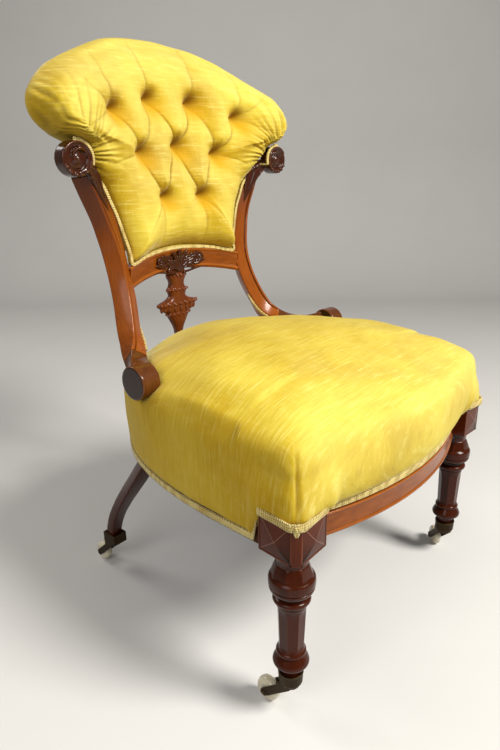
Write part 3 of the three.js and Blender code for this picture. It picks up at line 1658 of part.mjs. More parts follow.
function horn() {
  const inner = wheel_width / 2 + cheek_gap;
  const outer = inner + cheek_thickness;
  const plate_z = horn_top_z - horn_plate_thickness;
  const disc = turned([
    [0, plate_z],
    [horn_plate_radius * 0.9, plate_z],
    [horn_plate_radius, plate_z + horn_plate_thickness * 0.3],
    [horn_plate_radius, horn_top_z],
    [0, horn_top_z],
  ], 12);
  const pivot = turned([
    [0, horn_top_z - weld_overlap],
    [pivot_radius, horn_top_z - weld_overlap],
    [pivot_radius, leg_foot_z - seat_gap * 2],
    [0, leg_foot_z - seat_gap * 2],
  ], 12);
  const web_z = horn_top_z - horn_web_thickness;
  const boss = wheel_radius * horn_boss_share;
  const root = castor_trail * horn_arm_share;
  const cheek = new THREE.Shape();
  cheek.moveTo(-horn_plate_radius * 0.5, horn_top_z - weld_overlap);
  cheek.lineTo(-horn_plate_radius * 0.5, web_z);
  cheek.lineTo(castor_trail - boss * 1.6, wheel_radius);
  cheek.absarc(castor_trail, wheel_radius, boss, Math.PI * 1.2, Math.PI * 2.3, false);
  cheek.lineTo(root, web_z - horn_web_thickness);
  cheek.lineTo(root, horn_top_z - weld_overlap);
  cheek.closePath();
  // The cheek is drawn in the side plane and turned so that its depth runs along x.
  const side = extrude(cheek, cheek_thickness, 1, 4);
  const toSide = new THREE.Matrix4().makeBasis(vec(0, 1, 0), vec(0, 0, 1), vec(1, 0, 0));
  side.applyMatrix4(toSide);
  const left = side.clone().translate(inner, 0, 0);
  const right = side.clone().translate(-outer, 0, 0);
  const web = box(-outer, outer, -horn_plate_radius * 0.5, root, web_z, horn_top_z - weld_overlap);
  const hole = turned([
    [0, -outer - overrun],
    [axle_radius + seat_gap, -outer - overrun],
    [axle_radius + seat_gap, outer + overrun],
    [0, outer + overrun],
  ], 12).rotateY(Math.PI / 2).translate(0, castor_trail, wheel_radius);
  const clearance = turned([
    [0, -inner],
    [wheel_radius + cheek_gap, -inner],
    [wheel_radius + cheek_gap, inner],
    [0, inner],
  ], 14).rotateY(Math.PI / 2).translate(0, castor_trail, wheel_radius);
  return cut(join(disc, pivot, web, left, right), hole, clearance);
}

function roundSocket(bore) {
  const outer = bore + socket_wall;
  const cup = turned([
    [0, socket_floor_z],
    [outer * 0.86, socket_floor_z],
    [outer, socket_floor_z + socket_floor * 0.5],
    [outer * 1.04, socket_floor_z + socket_height - socket_wall],
    [outer * 1.1, socket_floor_z + socket_height],
    [0, socket_floor_z + socket_height],
  ], 18);
  const pocket = turned([
    [0, leg_foot_z - seat_gap],
    [bore, leg_foot_z - seat_gap],
    [bore * 1.03, socket_floor_z + socket_height + overrun],
    [0, socket_floor_z + socket_height + overrun],
  ], 18);
  return cut(cup, pocket, pivotHole());
}

function pivotHole() {
  return turned([
    [0, socket_floor_z - overrun],
    [pivot_radius + seat_gap, socket_floor_z - overrun],
    [pivot_radius + seat_gap, leg_foot_z + overrun],
    [0, leg_foot_z + overrun],
  ], 12);
}

function squareSocket(half_bore, pocket_shift) {
  const outer = half_bore + socket_wall;
  const top = socket_floor_z + socket_height;
  const cup = box(-outer, outer, -outer - pocket_shift, outer, socket_floor_z, top);
  const pocket = box(-half_bore, half_bore, -half_bore - pocket_shift, half_bore, leg_foot_z - seat_gap, top + overrun);
  return cut(cup, pocket, pivotHole());
}

const front_socket_bore = leg_ring_shares[1][0] * leg_block_size / 2 + seat_gap;
const rear_socket_bore = rear_post_size * rear_width_shares.at(-1) / 2 + seat_gap * 3;
const rear_socket_shift = 3;

function addCastor(name, x, y, socket, swivel = 0) {
  add(`castor_socket_${name}`, socket.translate(x, y, 0), dark_brass);
  add(`castor_horn_${name}`, horn().rotateZ(swivel).translate(x, y, 0), dark_brass);
  add(`castor_axle_${name}`, axle().rotateZ(swivel).translate(x, y, 0), dark_brass);
  add(`castor_wheel_${name}`, wheel().rotateZ(swivel).translate(x, y, 0), porcelain);
}
addCastor("front_left", front_leg_half_spread, 0, roundSocket(front_socket_bore), -Math.PI / 4);
addCastor("front_right", -front_leg_half_spread, 0, roundSocket(front_socket_bore));
addCastor("rear_left", rear_leg_half_spread, rear_foot_y, squareSocket(rear_socket_bore, rear_socket_shift));
addCastor("rear_right", -rear_leg_half_spread, rear_foot_y, squareSocket(rear_socket_bore, rear_socket_shift));

chair.position.y = -origin_y;

export default chair;
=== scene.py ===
# %% [markdown]
# # A buttoned nursing chair
# This low chair has a carved show-wood frame, a hollow back in deep-buttoned velvet, a domed
# sprung seat and four castors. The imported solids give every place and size. This lesson dresses
# them: velvet, carving, polish, braid, brass and porcelain.

# %% Load the frame
import math
import bmesh
import bpy
import numpy as np
from mathutils import Matrix, Vector, noise


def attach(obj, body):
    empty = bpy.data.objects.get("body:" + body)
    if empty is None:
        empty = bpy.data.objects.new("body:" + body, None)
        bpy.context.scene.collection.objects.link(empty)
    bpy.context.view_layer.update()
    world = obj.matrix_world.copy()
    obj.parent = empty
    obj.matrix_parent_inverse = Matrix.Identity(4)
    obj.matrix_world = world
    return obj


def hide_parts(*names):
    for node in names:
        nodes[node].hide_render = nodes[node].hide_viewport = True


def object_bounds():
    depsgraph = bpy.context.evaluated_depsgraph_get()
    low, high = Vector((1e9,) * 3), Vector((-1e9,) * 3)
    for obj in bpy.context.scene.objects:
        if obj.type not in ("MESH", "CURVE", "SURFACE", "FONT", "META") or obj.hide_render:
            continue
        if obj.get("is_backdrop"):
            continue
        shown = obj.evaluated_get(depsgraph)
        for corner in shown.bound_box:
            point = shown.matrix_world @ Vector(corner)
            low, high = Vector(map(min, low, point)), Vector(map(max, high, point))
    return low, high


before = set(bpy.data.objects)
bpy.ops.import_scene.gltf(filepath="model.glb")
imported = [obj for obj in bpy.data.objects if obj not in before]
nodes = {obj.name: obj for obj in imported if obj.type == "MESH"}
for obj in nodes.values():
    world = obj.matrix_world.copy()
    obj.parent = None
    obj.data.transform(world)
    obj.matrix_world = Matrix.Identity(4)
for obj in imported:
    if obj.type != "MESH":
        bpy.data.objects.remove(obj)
cad_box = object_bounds()
scene = bpy.context.scene

# %% [markdown]
# The chair was drawn in millimetres from the axes of its front legs. Blender works in metres
# from the middle of the floor under it, so one small helper turns the first into the second.

# %% Units and small helpers
mm = 0.001
origin_y = 232.0
hands = ((1, "left"), (-1, "right"))
toward_front = (0, -1, 0)


def place(x, y, z):
    """A point of the drawing, in metres, in the frame of the scene."""
    return Vector((x * mm, (y - origin_y) * mm, z * mm))


def mix(a, b, t):
    return a + (b - a) * t


def smooth(a, b, value):
    """Rises from 0 at a to 1 at b in a soft step; value may be an array."""
    t = np.clip((value - a) / (b - a), 0.0, 1.0)
    return t * t * (3 - 2 * t)


def spline(points, samples, closed=False):
    """A smooth run of points through the given ones."""
    pts = np.array(points, float)
    n = len(pts)
    out = []
    spans = n if closed else n - 1
    for i in range(spans):
        if closed:
            p0, p1, p2, p3 = pts[(i - 1) % n], pts[i], pts[(i + 1) % n], pts[(i + 2) % n]
        else:
            p1, p2 = pts[i], pts[i + 1]
            p0 = pts[i - 1] if i > 0 else 2 * p1 - p2
            p3 = pts[i + 2] if i + 2 < n else 2 * p2 - p1
        for k in range(samples):
            t = k / samples
            a = 2 * p1 + (p2 - p0) * t + (2 * p0 - 5 * p1 + 4 * p2 - p3) * t * t
            out.append(0.5 * (a + (3 * p1 - p0 - 3 * p2 + p3) * t ** 3))
    if not closed:
        out.append(pts[-1])
    return np.array(out)


# %% [markdown]
# Most pieces are a closed line carried along a path. An operator extrudes the line one step at
# a time, and each new ring is then set in its place. Turned pieces come from Spin, which carries
# half a profile once round an axis.

# %% Making shapes from rings
def extrude_rings(bm, rings, cap=True):
    """Carries a closed ring of points through all the others."""
    count = len(rings[0])
    made = bmesh.ops.create_circle(bm, segments=count, radius=1.0, cap_ends=False)
    verts = list(made["verts"])
    for v, p in zip(verts, rings[0]):
        v.co = p
    edges = [bm.edges.get((verts[i], verts[(i + 1) % count])) for i in range(count)]
    first = list(verts)
    for ring in rings[1:]:
        grown = bmesh.ops.extrude_edge_only(bm, edges=edges)["geom"]
        fresh = {g for g in grown if isinstance(g, bmesh.types.BMVert)}
        following = []
        for v in verts:
            following.append(next(e.other_vert(v) for e in v.link_edges if e.other_vert(v) in fresh))
        verts = following
        for v, p in zip(verts, ring):
            v.co = p
        edges = [bm.edges.get((verts[i], verts[(i + 1) % count])) for i in range(count)]
    if cap:
        bmesh.ops.contextual_create(bm, geom=first)
        bmesh.ops.contextual_create(bm, geom=verts)
    bmesh.ops.recalc_face_normals(bm, faces=bm.faces)
    return bm


def spin_profile(bm, profile, steps, axis=(0, 0, 1), centre=(0, 0, 0)):
    """Turns a profile of (radius, height) pairs once round the z axis of its own space."""
    start = [bmesh.ops.create_vert(bm, co=(r * mm, 0, z * mm))["vert"][0] for r, z in profile]
    line = [bm.edges.new((start[i], start[i + 1])) for i in range(len(start) - 1)]
    bmesh.ops.spin(bm, geom=start + line, cent=(0, 0, 0), axis=(0, 0, 1), steps=steps,
                   angle=math.tau, use_merge=True, use_duplicate=False)
    bmesh.ops.remove_doubles(bm, verts=bm.verts, dist=1e-6)
    turn = Vector((0, 0, 1)).rotation_difference(Vector(axis)).to_matrix().to_4x4()
    bmesh.ops.transform(bm, matrix=Matrix.Translation(centre) @ turn, verts=bm.verts)
    bmesh.ops.recalc_face_normals(bm, faces=bm.faces)
    return bm


def finish_mesh(name, bm, sharp=38):
    """Writes a bmesh to an object at the origin, smooth but for its real edges."""
    mesh = bpy.data.meshes.new(name)
    for f in bm.faces:
        f.smooth = True
    for e in bm.edges:
        if len(e.link_faces) == 2 and e.calc_face_angle(0) > math.radians(sharp):
            e.smooth = False
    bm.to_mesh(mesh)
    bm.free()
    obj = bpy.data.objects.new(name, mesh)
    scene.collection.objects.link(obj)
    return obj


def bake_modifiers(obj):
    """Applies the modifiers of a piece to its mesh."""
    bpy.context.view_layer.update()
    seen = obj.evaluated_get(bpy.context.evaluated_depsgraph_get())
    mesh = bpy.data.meshes.new_from_object(seen)
    obj.modifiers.clear()
    obj.data = mesh
    return obj


def fuse(obj, voxel, rounds, factor):
    """Grows overlapping forms into one carved skin and softens it."""
    remesh = obj.modifiers.new("fuse", "REMESH")
    remesh.mode = "VOXEL"
    remesh.voxel_size = voxel * mm
    bake_modifiers(obj)
    bm = bmesh.new()
    bm.from_mesh(obj.data)
    for _ in range(rounds):
        bmesh.ops.smooth_vert(bm, verts=bm.verts, factor=factor,
                              use_axis_x=True, use_axis_y=True, use_axis_z=True)
    for f in bm.faces:
        f.smooth = True
    bm.to_mesh(obj.data)
    bm.free()
    return obj


def merged_copy(node):
    """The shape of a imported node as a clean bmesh."""
    bm = bmesh.new()
    bm.from_mesh(nodes[node].data)
    bmesh.ops.remove_doubles(bm, verts=bm.verts, dist=2e-6)
    return bm


def append_part(bm, part):
    """Adds the mesh of one bmesh to another and frees it."""
    mesh = bpy.data.meshes.new("part")
    part.to_mesh(mesh)
    part.free()
    bm.from_mesh(mesh)
    bpy.data.meshes.remove(mesh)


def mirror(bm, side):
    """Turns a piece made for the sitter's left into its twin, where side asks for it."""
    if side < 0:
        bmesh.ops.scale(bm, vec=(-1, 1, 1), verts=bm.verts)
        bmesh.ops.recalc_face_normals(bm, faces=bm.faces)


def soften_edges(bm, edges, offset, segments=1):
    return bmesh.ops.bevel(bm, geom=edges, offset=offset * mm, segments=segments,
                           affect="EDGES", profile=0.5, material=-1)


def finish_piece(obj, material, slot, *replaced, body="chair"):
    """Gives a piece its material and body, and hides the solids that it stands for; the slot is not used."""
    obj.data.materials.clear()
    obj.data.materials.append(material)
    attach(obj, body)
    if replaced:
        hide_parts(*replaced)
    print(obj.name, "faces", len(obj.data.polygons))
    return obj


# %% [markdown]
# ## Finishes
# Every finish is made of noise and the surface's own coordinates. What several share is a node
# group: wood grain, wear and painted light on raised edges and in hollows, and the slubs of a cut
# pile. Numbers that are the same all over stay on the shader.

# %% Node helpers
def new_group(name, inputs, outputs):
    group = bpy.data.node_groups.new(name, "ShaderNodeTree")
    for label, kind, value in inputs:
        socket = group.interface.new_socket(name=label, in_out="INPUT", socket_type=kind)
        if value is not None:
            socket.default_value = value
    for label, kind in outputs:
        group.interface.new_socket(name=label, in_out="OUTPUT", socket_type=kind)
    return group, group.nodes.new("NodeGroupInput"), group.nodes.new("NodeGroupOutput")


def math_node(tree, operation, a, b=None, clamp=False):
    node = tree.nodes.new("ShaderNodeMath")
    node.operation = operation
    node.use_clamp = clamp
    for i, value in enumerate((a, b)):
        if value is None:
            continue
        if isinstance(value, (int, float)):
            node.inputs[i].default_value = value
        else:
            tree.links.new(value, node.inputs[i])
    return node.outputs[0]


def noise_node(tree, vector, scale, detail=4, roughness=0.6, distortion=0.0):
    node = tree.nodes.new("ShaderNodeTexNoise")
    node.inputs["Scale"].default_value = scale
    node.inputs["Detail"].default_value = detail
    node.inputs["Roughness"].default_value = roughness
    node.inputs["Distortion"].default_value = distortion
    tree.links.new(vector, node.inputs["Vector"])
    return node.outputs["Fac"]


def stretch(tree, vector, scale, rotation=(0, 0, 0)):
    node = tree.nodes.new("ShaderNodeMapping")
    node.inputs["Scale"].default_value = scale
    node.inputs["Rotation"].default_value = rotation
    tree.links.new(vector, node.inputs["Vector"])
    return node.outputs[0]


def ramp(tree, value, stops):
    node = tree.nodes.new("ShaderNodeValToRGB")
    node.color_ramp.elements[0].position = stops[0][0]
    node.color_ramp.elements[0].color = (*stops[0][1], 1)
    node.color_ramp.elements[1].position = stops[-1][0]
    node.color_ramp.elements[1].color = (*stops[-1][1], 1)
    for position, colour in stops[1:-1]:
        node.color_ramp.elements.new(position).color = (*colour, 1)
    tree.links.new(value, node.inputs[0])
    return node.outputs["Color"]


def blend_colour(tree, factor, a, b, mode="MIX"):
    node = tree.nodes.new("ShaderNodeMix")
    node.data_type = "RGBA"
    node.blend_type = mode
    for socket, value in ((node.inputs[0], factor), (node.inputs[6], a), (node.inputs[7], b)):
        if isinstance(value, (int, float)):
            socket.default_value = value
        elif isinstance(value, tuple):
            socket.default_value = (*value, 1)
        else:
            tree.links.new(value, socket)
    return node.outputs[2]


def principled(name):
    """A new material with its tree, its shader and the object's own coordinates."""
    material = bpy.data.materials.new(name)
    material.use_nodes = True
    tree = material.node_tree
    coords = tree.nodes.new("ShaderNodeTexCoord").outputs["Object"]
    return material, tree, tree.nodes["Principled BSDF"], coords


def use_group(tree, group, **inputs):
    node = tree.nodes.new("ShaderNodeGroup")
    node.node_tree = group
    for label, value in inputs.items():
        if isinstance(value, float):
            node.inputs[label].default_value = value
        else:
            tree.links.new(value, node.inputs[label])
    return node.outputs


def over(tree, value, start, gain):
    """A mask that grows where value passes start, or falls short of it if the gain is negative."""
    return math_node(tree, "MULTIPLY", math_node(tree, "SUBTRACT", value, start), gain, True)


def tint(tree, base, mask, weight, colour):
    """Mixes a colour into base where the mask lies."""
    return blend_colour(tree, math_node(tree, "MULTIPLY", mask, weight, True), base, colour)


def attribute(tree, name):
    node = tree.nodes.new("ShaderNodeAttribute")
    node.attribute_name = name
    return node.outputs["Fac"]


def surface_normal(tree):
    return tree.nodes.new("ShaderNodeNewGeometry").outputs["Normal"]


def split(tree, vector):
    node = tree.nodes.new("ShaderNodeSeparateXYZ")
    tree.links.new(vector, node.inputs[0])
    return node.outputs


def colour_and_roughness(tree, shader, colour, varied, spread, start):
    """Links the colour, and a roughness that starts at a value and varies with a noise."""
    tree.links.new(colour, shader.inputs["Base Color"])
    rough = math_node(tree, "ADD", math_node(tree, "MULTIPLY", varied, spread), start)
    tree.links.new(rough, shader.inputs["Roughness"])


def add_bump(tree, shader, height, strength, distance):
    bump = tree.nodes.new("ShaderNodeBump")
    bump.inputs["Strength"].default_value = strength
    bump.inputs["Distance"].default_value = distance
    tree.links.new(height, bump.inputs["Height"])
    tree.links.new(bump.outputs["Normal"], shader.inputs["Normal"])


def between(a, b, share):
    return tuple(mix(p, q, share) for p, q in zip(a, b))


def times(colour, factor):
    return tuple(min(c * factor, 1) for c in colour)


# %% [markdown]
# Polished walnut has long dark streaks with fine pores between them. Stretching a noise about
# eleven times along the board gives the streaks, and a finer noise gives the pores.

# %% Grain group
grain, g_in, g_out = new_group(
    "wood_grain",
    [("Vector", "NodeSocketVector", None), ("Figure", "NodeSocketFloat", 1.0)],
    [("Streaks", "NodeSocketFloat"), ("Pores", "NodeSocketFloat")])
along_board = g_in.outputs["Vector"]
figure = math_node(grain, "MULTIPLY", g_in.outputs["Figure"], noise_node(grain, along_board, 3.0, 2))
wave = grain.nodes.new("ShaderNodeTexWave")
wave.inputs["Scale"].default_value = 9.0
wave.inputs["Distortion"].default_value = 7.0
wave.inputs["Detail"].default_value = 3.0
grain.links.new(along_board, wave.inputs["Vector"])
streaks = noise_node(grain, along_board, 16.0, 6, 0.6, 0.5)
both = math_node(grain, "MULTIPLY", wave.outputs["Fac"], figure)
streaks = math_node(grain, "ADD", math_node(grain, "MULTIPLY", streaks, 0.7), both, True)
grain.links.new(streaks, g_out.inputs["Streaks"])
grain.links.new(noise_node(grain, along_board, 130.0, 3, 0.7), g_out.inputs["Pores"])
print("group:", grain.name)

# %% [markdown]
# Raised edges are painted pale and hollows dark. The pale is partly worn polish and partly painted
# highlight; the dark is partly dirt and partly painted shade. The geometry's pointiness tells the two apart.

# %% Edge group
edge_wear_and_shade_group, e_in, e_out = new_group(
    "edge_wear_and_painted_light",
    [("Vector", "NodeSocketVector", None)],
    [("Raised", "NodeSocketFloat"), ("Hollow", "NodeSocketFloat")])
pointiness = edge_wear_and_shade_group.nodes.new("ShaderNodeNewGeometry").outputs["Pointiness"]
patchy = noise_node(edge_wear_and_shade_group, e_in.outputs["Vector"], 38.0, 4)
# Raised: worn polish and painted highlight. Hollow: dirt and painted shade.
raised = math_node(edge_wear_and_shade_group, "MULTIPLY", over(edge_wear_and_shade_group, pointiness, 0.515, 14.0), patchy, True)
edge_wear_and_shade_group.links.new(raised, e_out.inputs["Raised"])
edge_wear_and_shade_group.links.new(over(edge_wear_and_shade_group, pointiness, 0.492, -16.0), e_out.inputs["Hollow"])
print("group:", edge_wear_and_shade_group.name)


# %% Polished wood
painted_shade_from, painted_shade_gain = 0.545, 11.0
ridge_wear_and_highlight = (0.5, 0.27, 0.2)


def polished_wood(name, dark, mid, pale, along=(1, 1, 0.09), roughness=0.24, coat=0.55, figure=0.6,
                  painted_top_shade=0.0, painted_side_shade=0.0):
    """French-polished wood with grain along one axis.

    Painted shade can be added: toward the top, and on faces that point along x.
    """
    material, tree, shader, coords = principled(name)
    laid = stretch(tree, coords, tuple(9 * a for a in along))
    wood = use_group(tree, grain, Vector=laid, Figure=figure)
    edge_wear_and_light = use_group(tree, edge_wear_and_shade_group, Vector=coords)
    colour = ramp(tree, wood["Streaks"],
                  [(0.15, between(dark, mid, 0.45)), (0.5, mid), (0.9, between(mid, pale, 0.6))])
    colour = tint(tree, colour, over(tree, wood["Pores"], 0.55, 3.0), 0.45, dark)
    cloudy = noise_node(tree, coords, 9.0, 3)
    colour = tint(tree, colour, over(tree, cloudy, 0.4, 0.9), 1.0, mid)
    # Painted shade in the hollows, with some dirt, and pale raised edges: worn polish and painted highlight.
    colour = tint(tree, colour, edge_wear_and_light["Hollow"], 0.8, times(dark, 0.28))
    colour = tint(tree, colour, edge_wear_and_light["Raised"], 0.55, times(pale, 1.7))
    # Painted shade: darker toward the top.
    top_shade_mask = over(tree, split(tree, coords)["Z"], painted_shade_from, painted_shade_gain)
    colour = tint(tree, colour, top_shade_mask, painted_top_shade, between(dark, mid, 0.12))
    # Painted shade on faces that point along x, which the lamps light little.
    facing = split(tree, surface_normal(tree))["X"]
    side_shade_mask = over(tree, math_node(tree, "MULTIPLY", facing, facing), 0.85, 9.0)
    colour = tint(tree, colour, side_shade_mask, painted_side_shade, times(dark, 0.5))
    # Pale line on the ridges of the leg blocks' bosses: worn edge and painted highlight.
    colour = tint(tree, colour, attribute(tree, "line"), 0.62, ridge_wear_and_highlight)
    colour_and_roughness(tree, shader, colour, cloudy, 0.16, roughness - 0.06)
    add_bump(tree, shader, wood["Pores"], 0.1, 0.0006)
    shader.inputs["Coat Weight"].default_value = coat
    shader.inputs["Coat Roughness"].default_value = 0.12
    shader.inputs["Specular IOR Level"].default_value = 0.12
    return material


# Each wood is given by its dark, middle and pale colours.
# The uprights get painted shade toward their tops.
upright_wood = polished_wood("polished_walnut", (0.09, 0.017, 0.002), (0.29, 0.07, 0.007),
                             (0.44, 0.135, 0.014), coat=0.3, figure=0.2, painted_top_shade=0.85)
rail_wood = polished_wood("polished_walnut_across", (0.09, 0.018, 0.002), (0.31, 0.08, 0.008),
                          (0.48, 0.16, 0.018), along=(0.09, 1, 1), coat=0.3, figure=0.2)
leg_wood = polished_wood("dark_polished_walnut", (0.014, 0.003, 0.001), (0.06, 0.01, 0.002),
                         (0.15, 0.032, 0.007), roughness=0.2, coat=0.16, figure=0.15)
# The rolled feet get painted shade on their faces that point along x.
roll_wood = polished_wood("rolled_foot_walnut", (0.025, 0.006, 0.002), (0.13, 0.038, 0.008),
                          (0.3, 0.1, 0.02), roughness=0.22, coat=0.5, figure=0.2, painted_side_shade=0.9)
block_wood = polished_wood("corner_block_walnut", (0.03, 0.006, 0.002), (0.085, 0.014, 0.003),
                           (0.16, 0.036, 0.008), roughness=0.3, coat=0.1, figure=0.15)
carved_wood = polished_wood("carved_walnut", (0.01, 0.002, 0.001), (0.055, 0.012, 0.003),
                            (0.3, 0.1, 0.03), roughness=0.22, coat=0.6, figure=0.15)
splat_wood = polished_wood("carved_splat_walnut", (0.035, 0.008, 0.002), (0.17, 0.04, 0.008),
                           (0.32, 0.09, 0.018), roughness=0.27, coat=0.35, figure=0.15)
# Very dark wood for the side rails: dark stain and painted shade under the seat.
stain_and_shade_wood = polished_wood("rail_stain_and_painted_shade", (0.02, 0.006, 0.002), (0.05, 0.016, 0.005),
                             (0.09, 0.03, 0.01), roughness=0.6, coat=0.0, figure=0.2)
beech_wood = polished_wood("bare_beech", (0.36, 0.22, 0.11), (0.5, 0.33, 0.17),
                           (0.6, 0.42, 0.24), roughness=0.65, coat=0.0, figure=0.3)
print("woods made")

# %% [markdown]
# ## Velvet
# Cut velvet is a forest of short threads. Its colour is painted paler on faces that turn toward
# the key lamp and deeper on faces that turn away, and pale gold is painted in where the surface
# turns edge-on: painted light, shade and sheen. The shader's sheen adds a glow at the rim as well.
# A slub is a thick thread in the weave that shows as a fine pale or dark line.

# %% Pile group
pile, p_in, p_out = new_group(
    "velvet_pile",
    [("Across", "NodeSocketVector", None), ("Plain", "NodeSocketVector", None)],
    [("Slubs", "NodeSocketFloat"), ("Brushed", "NodeSocketFloat"), ("Nap", "NodeSocketFloat")])
pile.links.new(noise_node(pile, p_in.outputs["Across"], 1.0, 5, 0.72), p_out.inputs["Slubs"])
pile.links.new(noise_node(pile, p_in.outputs["Plain"], 9.0, 4, 0.5, 0.15), p_out.inputs["Brushed"])
pile.links.new(noise_node(pile, p_in.outputs["Plain"], 900.0, 2, 0.6), p_out.inputs["Nap"])
print("group:", pile.name)

# %% Velvet
gold_deep, gold, gold_pale = (0.43, 0.25, 0.004), (0.6, 0.41, 0.014), (0.74, 0.58, 0.06)
painted_sheen_gold, slub_pale, slub_dark = (0.86, 0.68, 0.1), (0.94, 0.84, 0.27), (0.36, 0.19, 0.003)
cross_pale, painted_lit_gold, painted_shade_gold = (0.92, 0.8, 0.24), (0.93, 0.82, 0.22), (0.52, 0.29, 0.004)
painted_fold_shade, painted_warm_shade = (0.13, 0.05, 0.002), (0.68, 0.38, 0.004)
painted_light_way = (0.3, -0.8, 0.52)


def velvet_cloth(name, scale, rotation=(0, 0, 0), second=None):
    """Golden cut velvet; scale stretches the slubs along the cloth."""
    material, tree, shader, coords = principled(name)
    cloth = use_group(tree, pile, Across=stretch(tree, coords, scale, rotation), Plain=coords)
    base = ramp(tree, cloth["Brushed"], [(0.3, gold_deep), (0.48, gold), (0.68, gold_pale)])
    # Painted sheen: pale gold mixed into the colour where the surface turns edge-on.
    edge_on = tree.nodes.new("ShaderNodeLayerWeight")
    edge_on.inputs["Blend"].default_value = 0.42
    base = tint(tree, base, over(tree, edge_on.outputs["Facing"], 0.16, 1.25), 0.6, painted_sheen_gold)
    base = tint(tree, base, over(tree, cloth["Slubs"], 0.53, 4.5), 0.75, slub_pale)
    base = tint(tree, base, over(tree, cloth["Slubs"], 0.46, -4.5), 0.6, slub_dark)
    if second:
        cross = noise_node(tree, stretch(tree, coords, second, rotation), 1.0, 4, 0.7)
        base = tint(tree, base, over(tree, cross, 0.53, 2.5), 0.45, cross_pale)
    # Painted light and shade: paler on faces that turn toward the key lamp, deeper on faces that turn away.
    light_facing = tree.nodes.new("ShaderNodeVectorMath")
    light_facing.operation = "DOT_PRODUCT"
    tree.links.new(surface_normal(tree), light_facing.inputs[0])
    light_facing.inputs[1].default_value = painted_light_way
    base = tint(tree, base, over(tree, light_facing.outputs["Value"], 0.5, 1.5), 0.58, painted_lit_gold)
    base = tint(tree, base, over(tree, light_facing.outputs["Value"], 0.42, -1.6), 0.5, painted_shade_gold)
    # Painted shade: darker in the folds, pits and gathers.
    base = tint(tree, base, attribute(tree, "fold"), 0.9, painted_fold_shade)
    # Painted warm shade below each button and on the buttons.
    base = tint(tree, base, attribute(tree, "warm"), 0.85, painted_warm_shade)
    colour_and_roughness(tree, shader, base, cloth["Brushed"], 0.2, 0.66)
    height = math_node(tree, "ADD", math_node(tree, "MULTIPLY", cloth["Slubs"], 0.6),
                       math_node(tree, "MULTIPLY", cloth["Nap"], 0.4))
    add_bump(tree, shader, height, 0.35, 0.0012)
    shader.inputs["Sheen Weight"].default_value = 0.36
    shader.inputs["Sheen Roughness"].default_value = 0.3
    shader.inputs["Sheen Tint"].default_value = (1.0, 0.96, 0.6, 1)
    shader.inputs["Specular IOR Level"].default_value = 0.25
    return material


seat_turn = (0, 0, math.radians(-33))
seat_velvet = velvet_cloth("seat_velvet", (26, 330, 26), rotation=seat_turn, second=(300, 30, 30))
back_velvet = velvet_cloth("back_velvet", (26, 26, 380), second=(340, 28, 28))
plain_velvet = velvet_cloth("plain_velvet", (260, 16, 16))
print("velvets made")


# %% Other finishes
def woven(name, dark, pale, pitch, roughness=0.85, sheen=0.2):
    """A coarse cloth of crossed threads; pitch is in millimetres."""
    material, tree, shader, coords = principled(name)
    heights = []
    for direction in ("X", "Y", "Z"):
        wave = tree.nodes.new("ShaderNodeTexWave")
        wave.bands_direction = direction
        wave.inputs["Scale"].default_value = 0.314 / (pitch * mm) / 2
        wave.inputs["Distortion"].default_value = 1.2
        tree.links.new(coords, wave.inputs["Vector"])
        heights.append(wave.outputs["Fac"])
    summed = math_node(tree, "ADD", math_node(tree, "ADD", heights[0], heights[1]), heights[2])
    threads = math_node(tree, "MULTIPLY", summed, 0.4, True)
    colour = ramp(tree, threads, [(0.15, dark), (0.75, pale)])
    colour = tint(tree, colour, noise_node(tree, coords, 30.0, 5), 0.4, dark)
    tree.links.new(colour, shader.inputs["Base Color"])
    add_bump(tree, shader, threads, 0.5, 0.001)
    shader.inputs["Roughness"].default_value = roughness
    shader.inputs["Sheen Weight"].default_value = sheen
    return material


def metal(name, dark, pale, roughness):
    """Metal with tarnish spots and rubbed edges."""
    material, tree, shader, coords = principled(name)
    edge_wear_and_light = use_group(tree, edge_wear_and_shade_group, Vector=coords)
    spots = noise_node(tree, coords, 160.0, 5)
    colour = blend_colour(tree, spots, dark, between(dark, pale, 0.35))
    colour = tint(tree, colour, edge_wear_and_light["Raised"], 0.8, pale)
    colour_and_roughness(tree, shader, colour, spots, 0.3, roughness - 0.1)
    shader.inputs["Metallic"].default_value = 1.0
    return material


def glazed(name):
    """Cream porcelain under a clear glaze, with fine brown specks."""
    material, tree, shader, coords = principled(name)
    cloud = noise_node(tree, coords, 60.0, 4)
    colour = ramp(tree, cloud, [(0.3, (0.72, 0.6, 0.36)), (0.6, (0.86, 0.79, 0.6))])
    specks = over(tree, noise_node(tree, coords, 420.0, 3), 0.62, 5.0)
    colour = tint(tree, colour, specks, 0.5, (0.3, 0.22, 0.12))
    colour_and_roughness(tree, shader, colour, cloud, 0.2, 0.08)
    shader.inputs["Coat Weight"].default_value = 0.6
    return material


gimp_cloth = woven("gimp_braid", (0.4, 0.25, 0.03), (0.93, 0.79, 0.32), 1.5, sheen=0.3)
hessian_cloth = woven("jute_hessian", (0.22, 0.15, 0.08), (0.42, 0.32, 0.18), 1.6)
lining_cloth = woven("black_lining", (0.012, 0.011, 0.01), (0.04, 0.037, 0.033), 0.7, 0.95)
brass = metal("tarnished_brass", (0.012, 0.009, 0.006), (0.16, 0.1, 0.04), 0.46)
wire = metal("coppered_wire", (0.2, 0.11, 0.06), (0.5, 0.32, 0.2), 0.4)
porcelain = glazed("cream_porcelain")
print("other finishes made")

# %% [markdown]
# ## Camera and light
# The camera stands where the photographer stood: above the seat, to the sitter's right of the
# chair's front. A soft key lamp stands in front and a little to the sitter's left, a wide weak one
# fills the camera's side, and a third lights the rims from behind. The floor is pale and curves up
# into a wall. The photographed ground is brighter than the light that it throws on the chair, so
# rays from the camera, from gloss and through glass see the paper, and the others a duller grey.

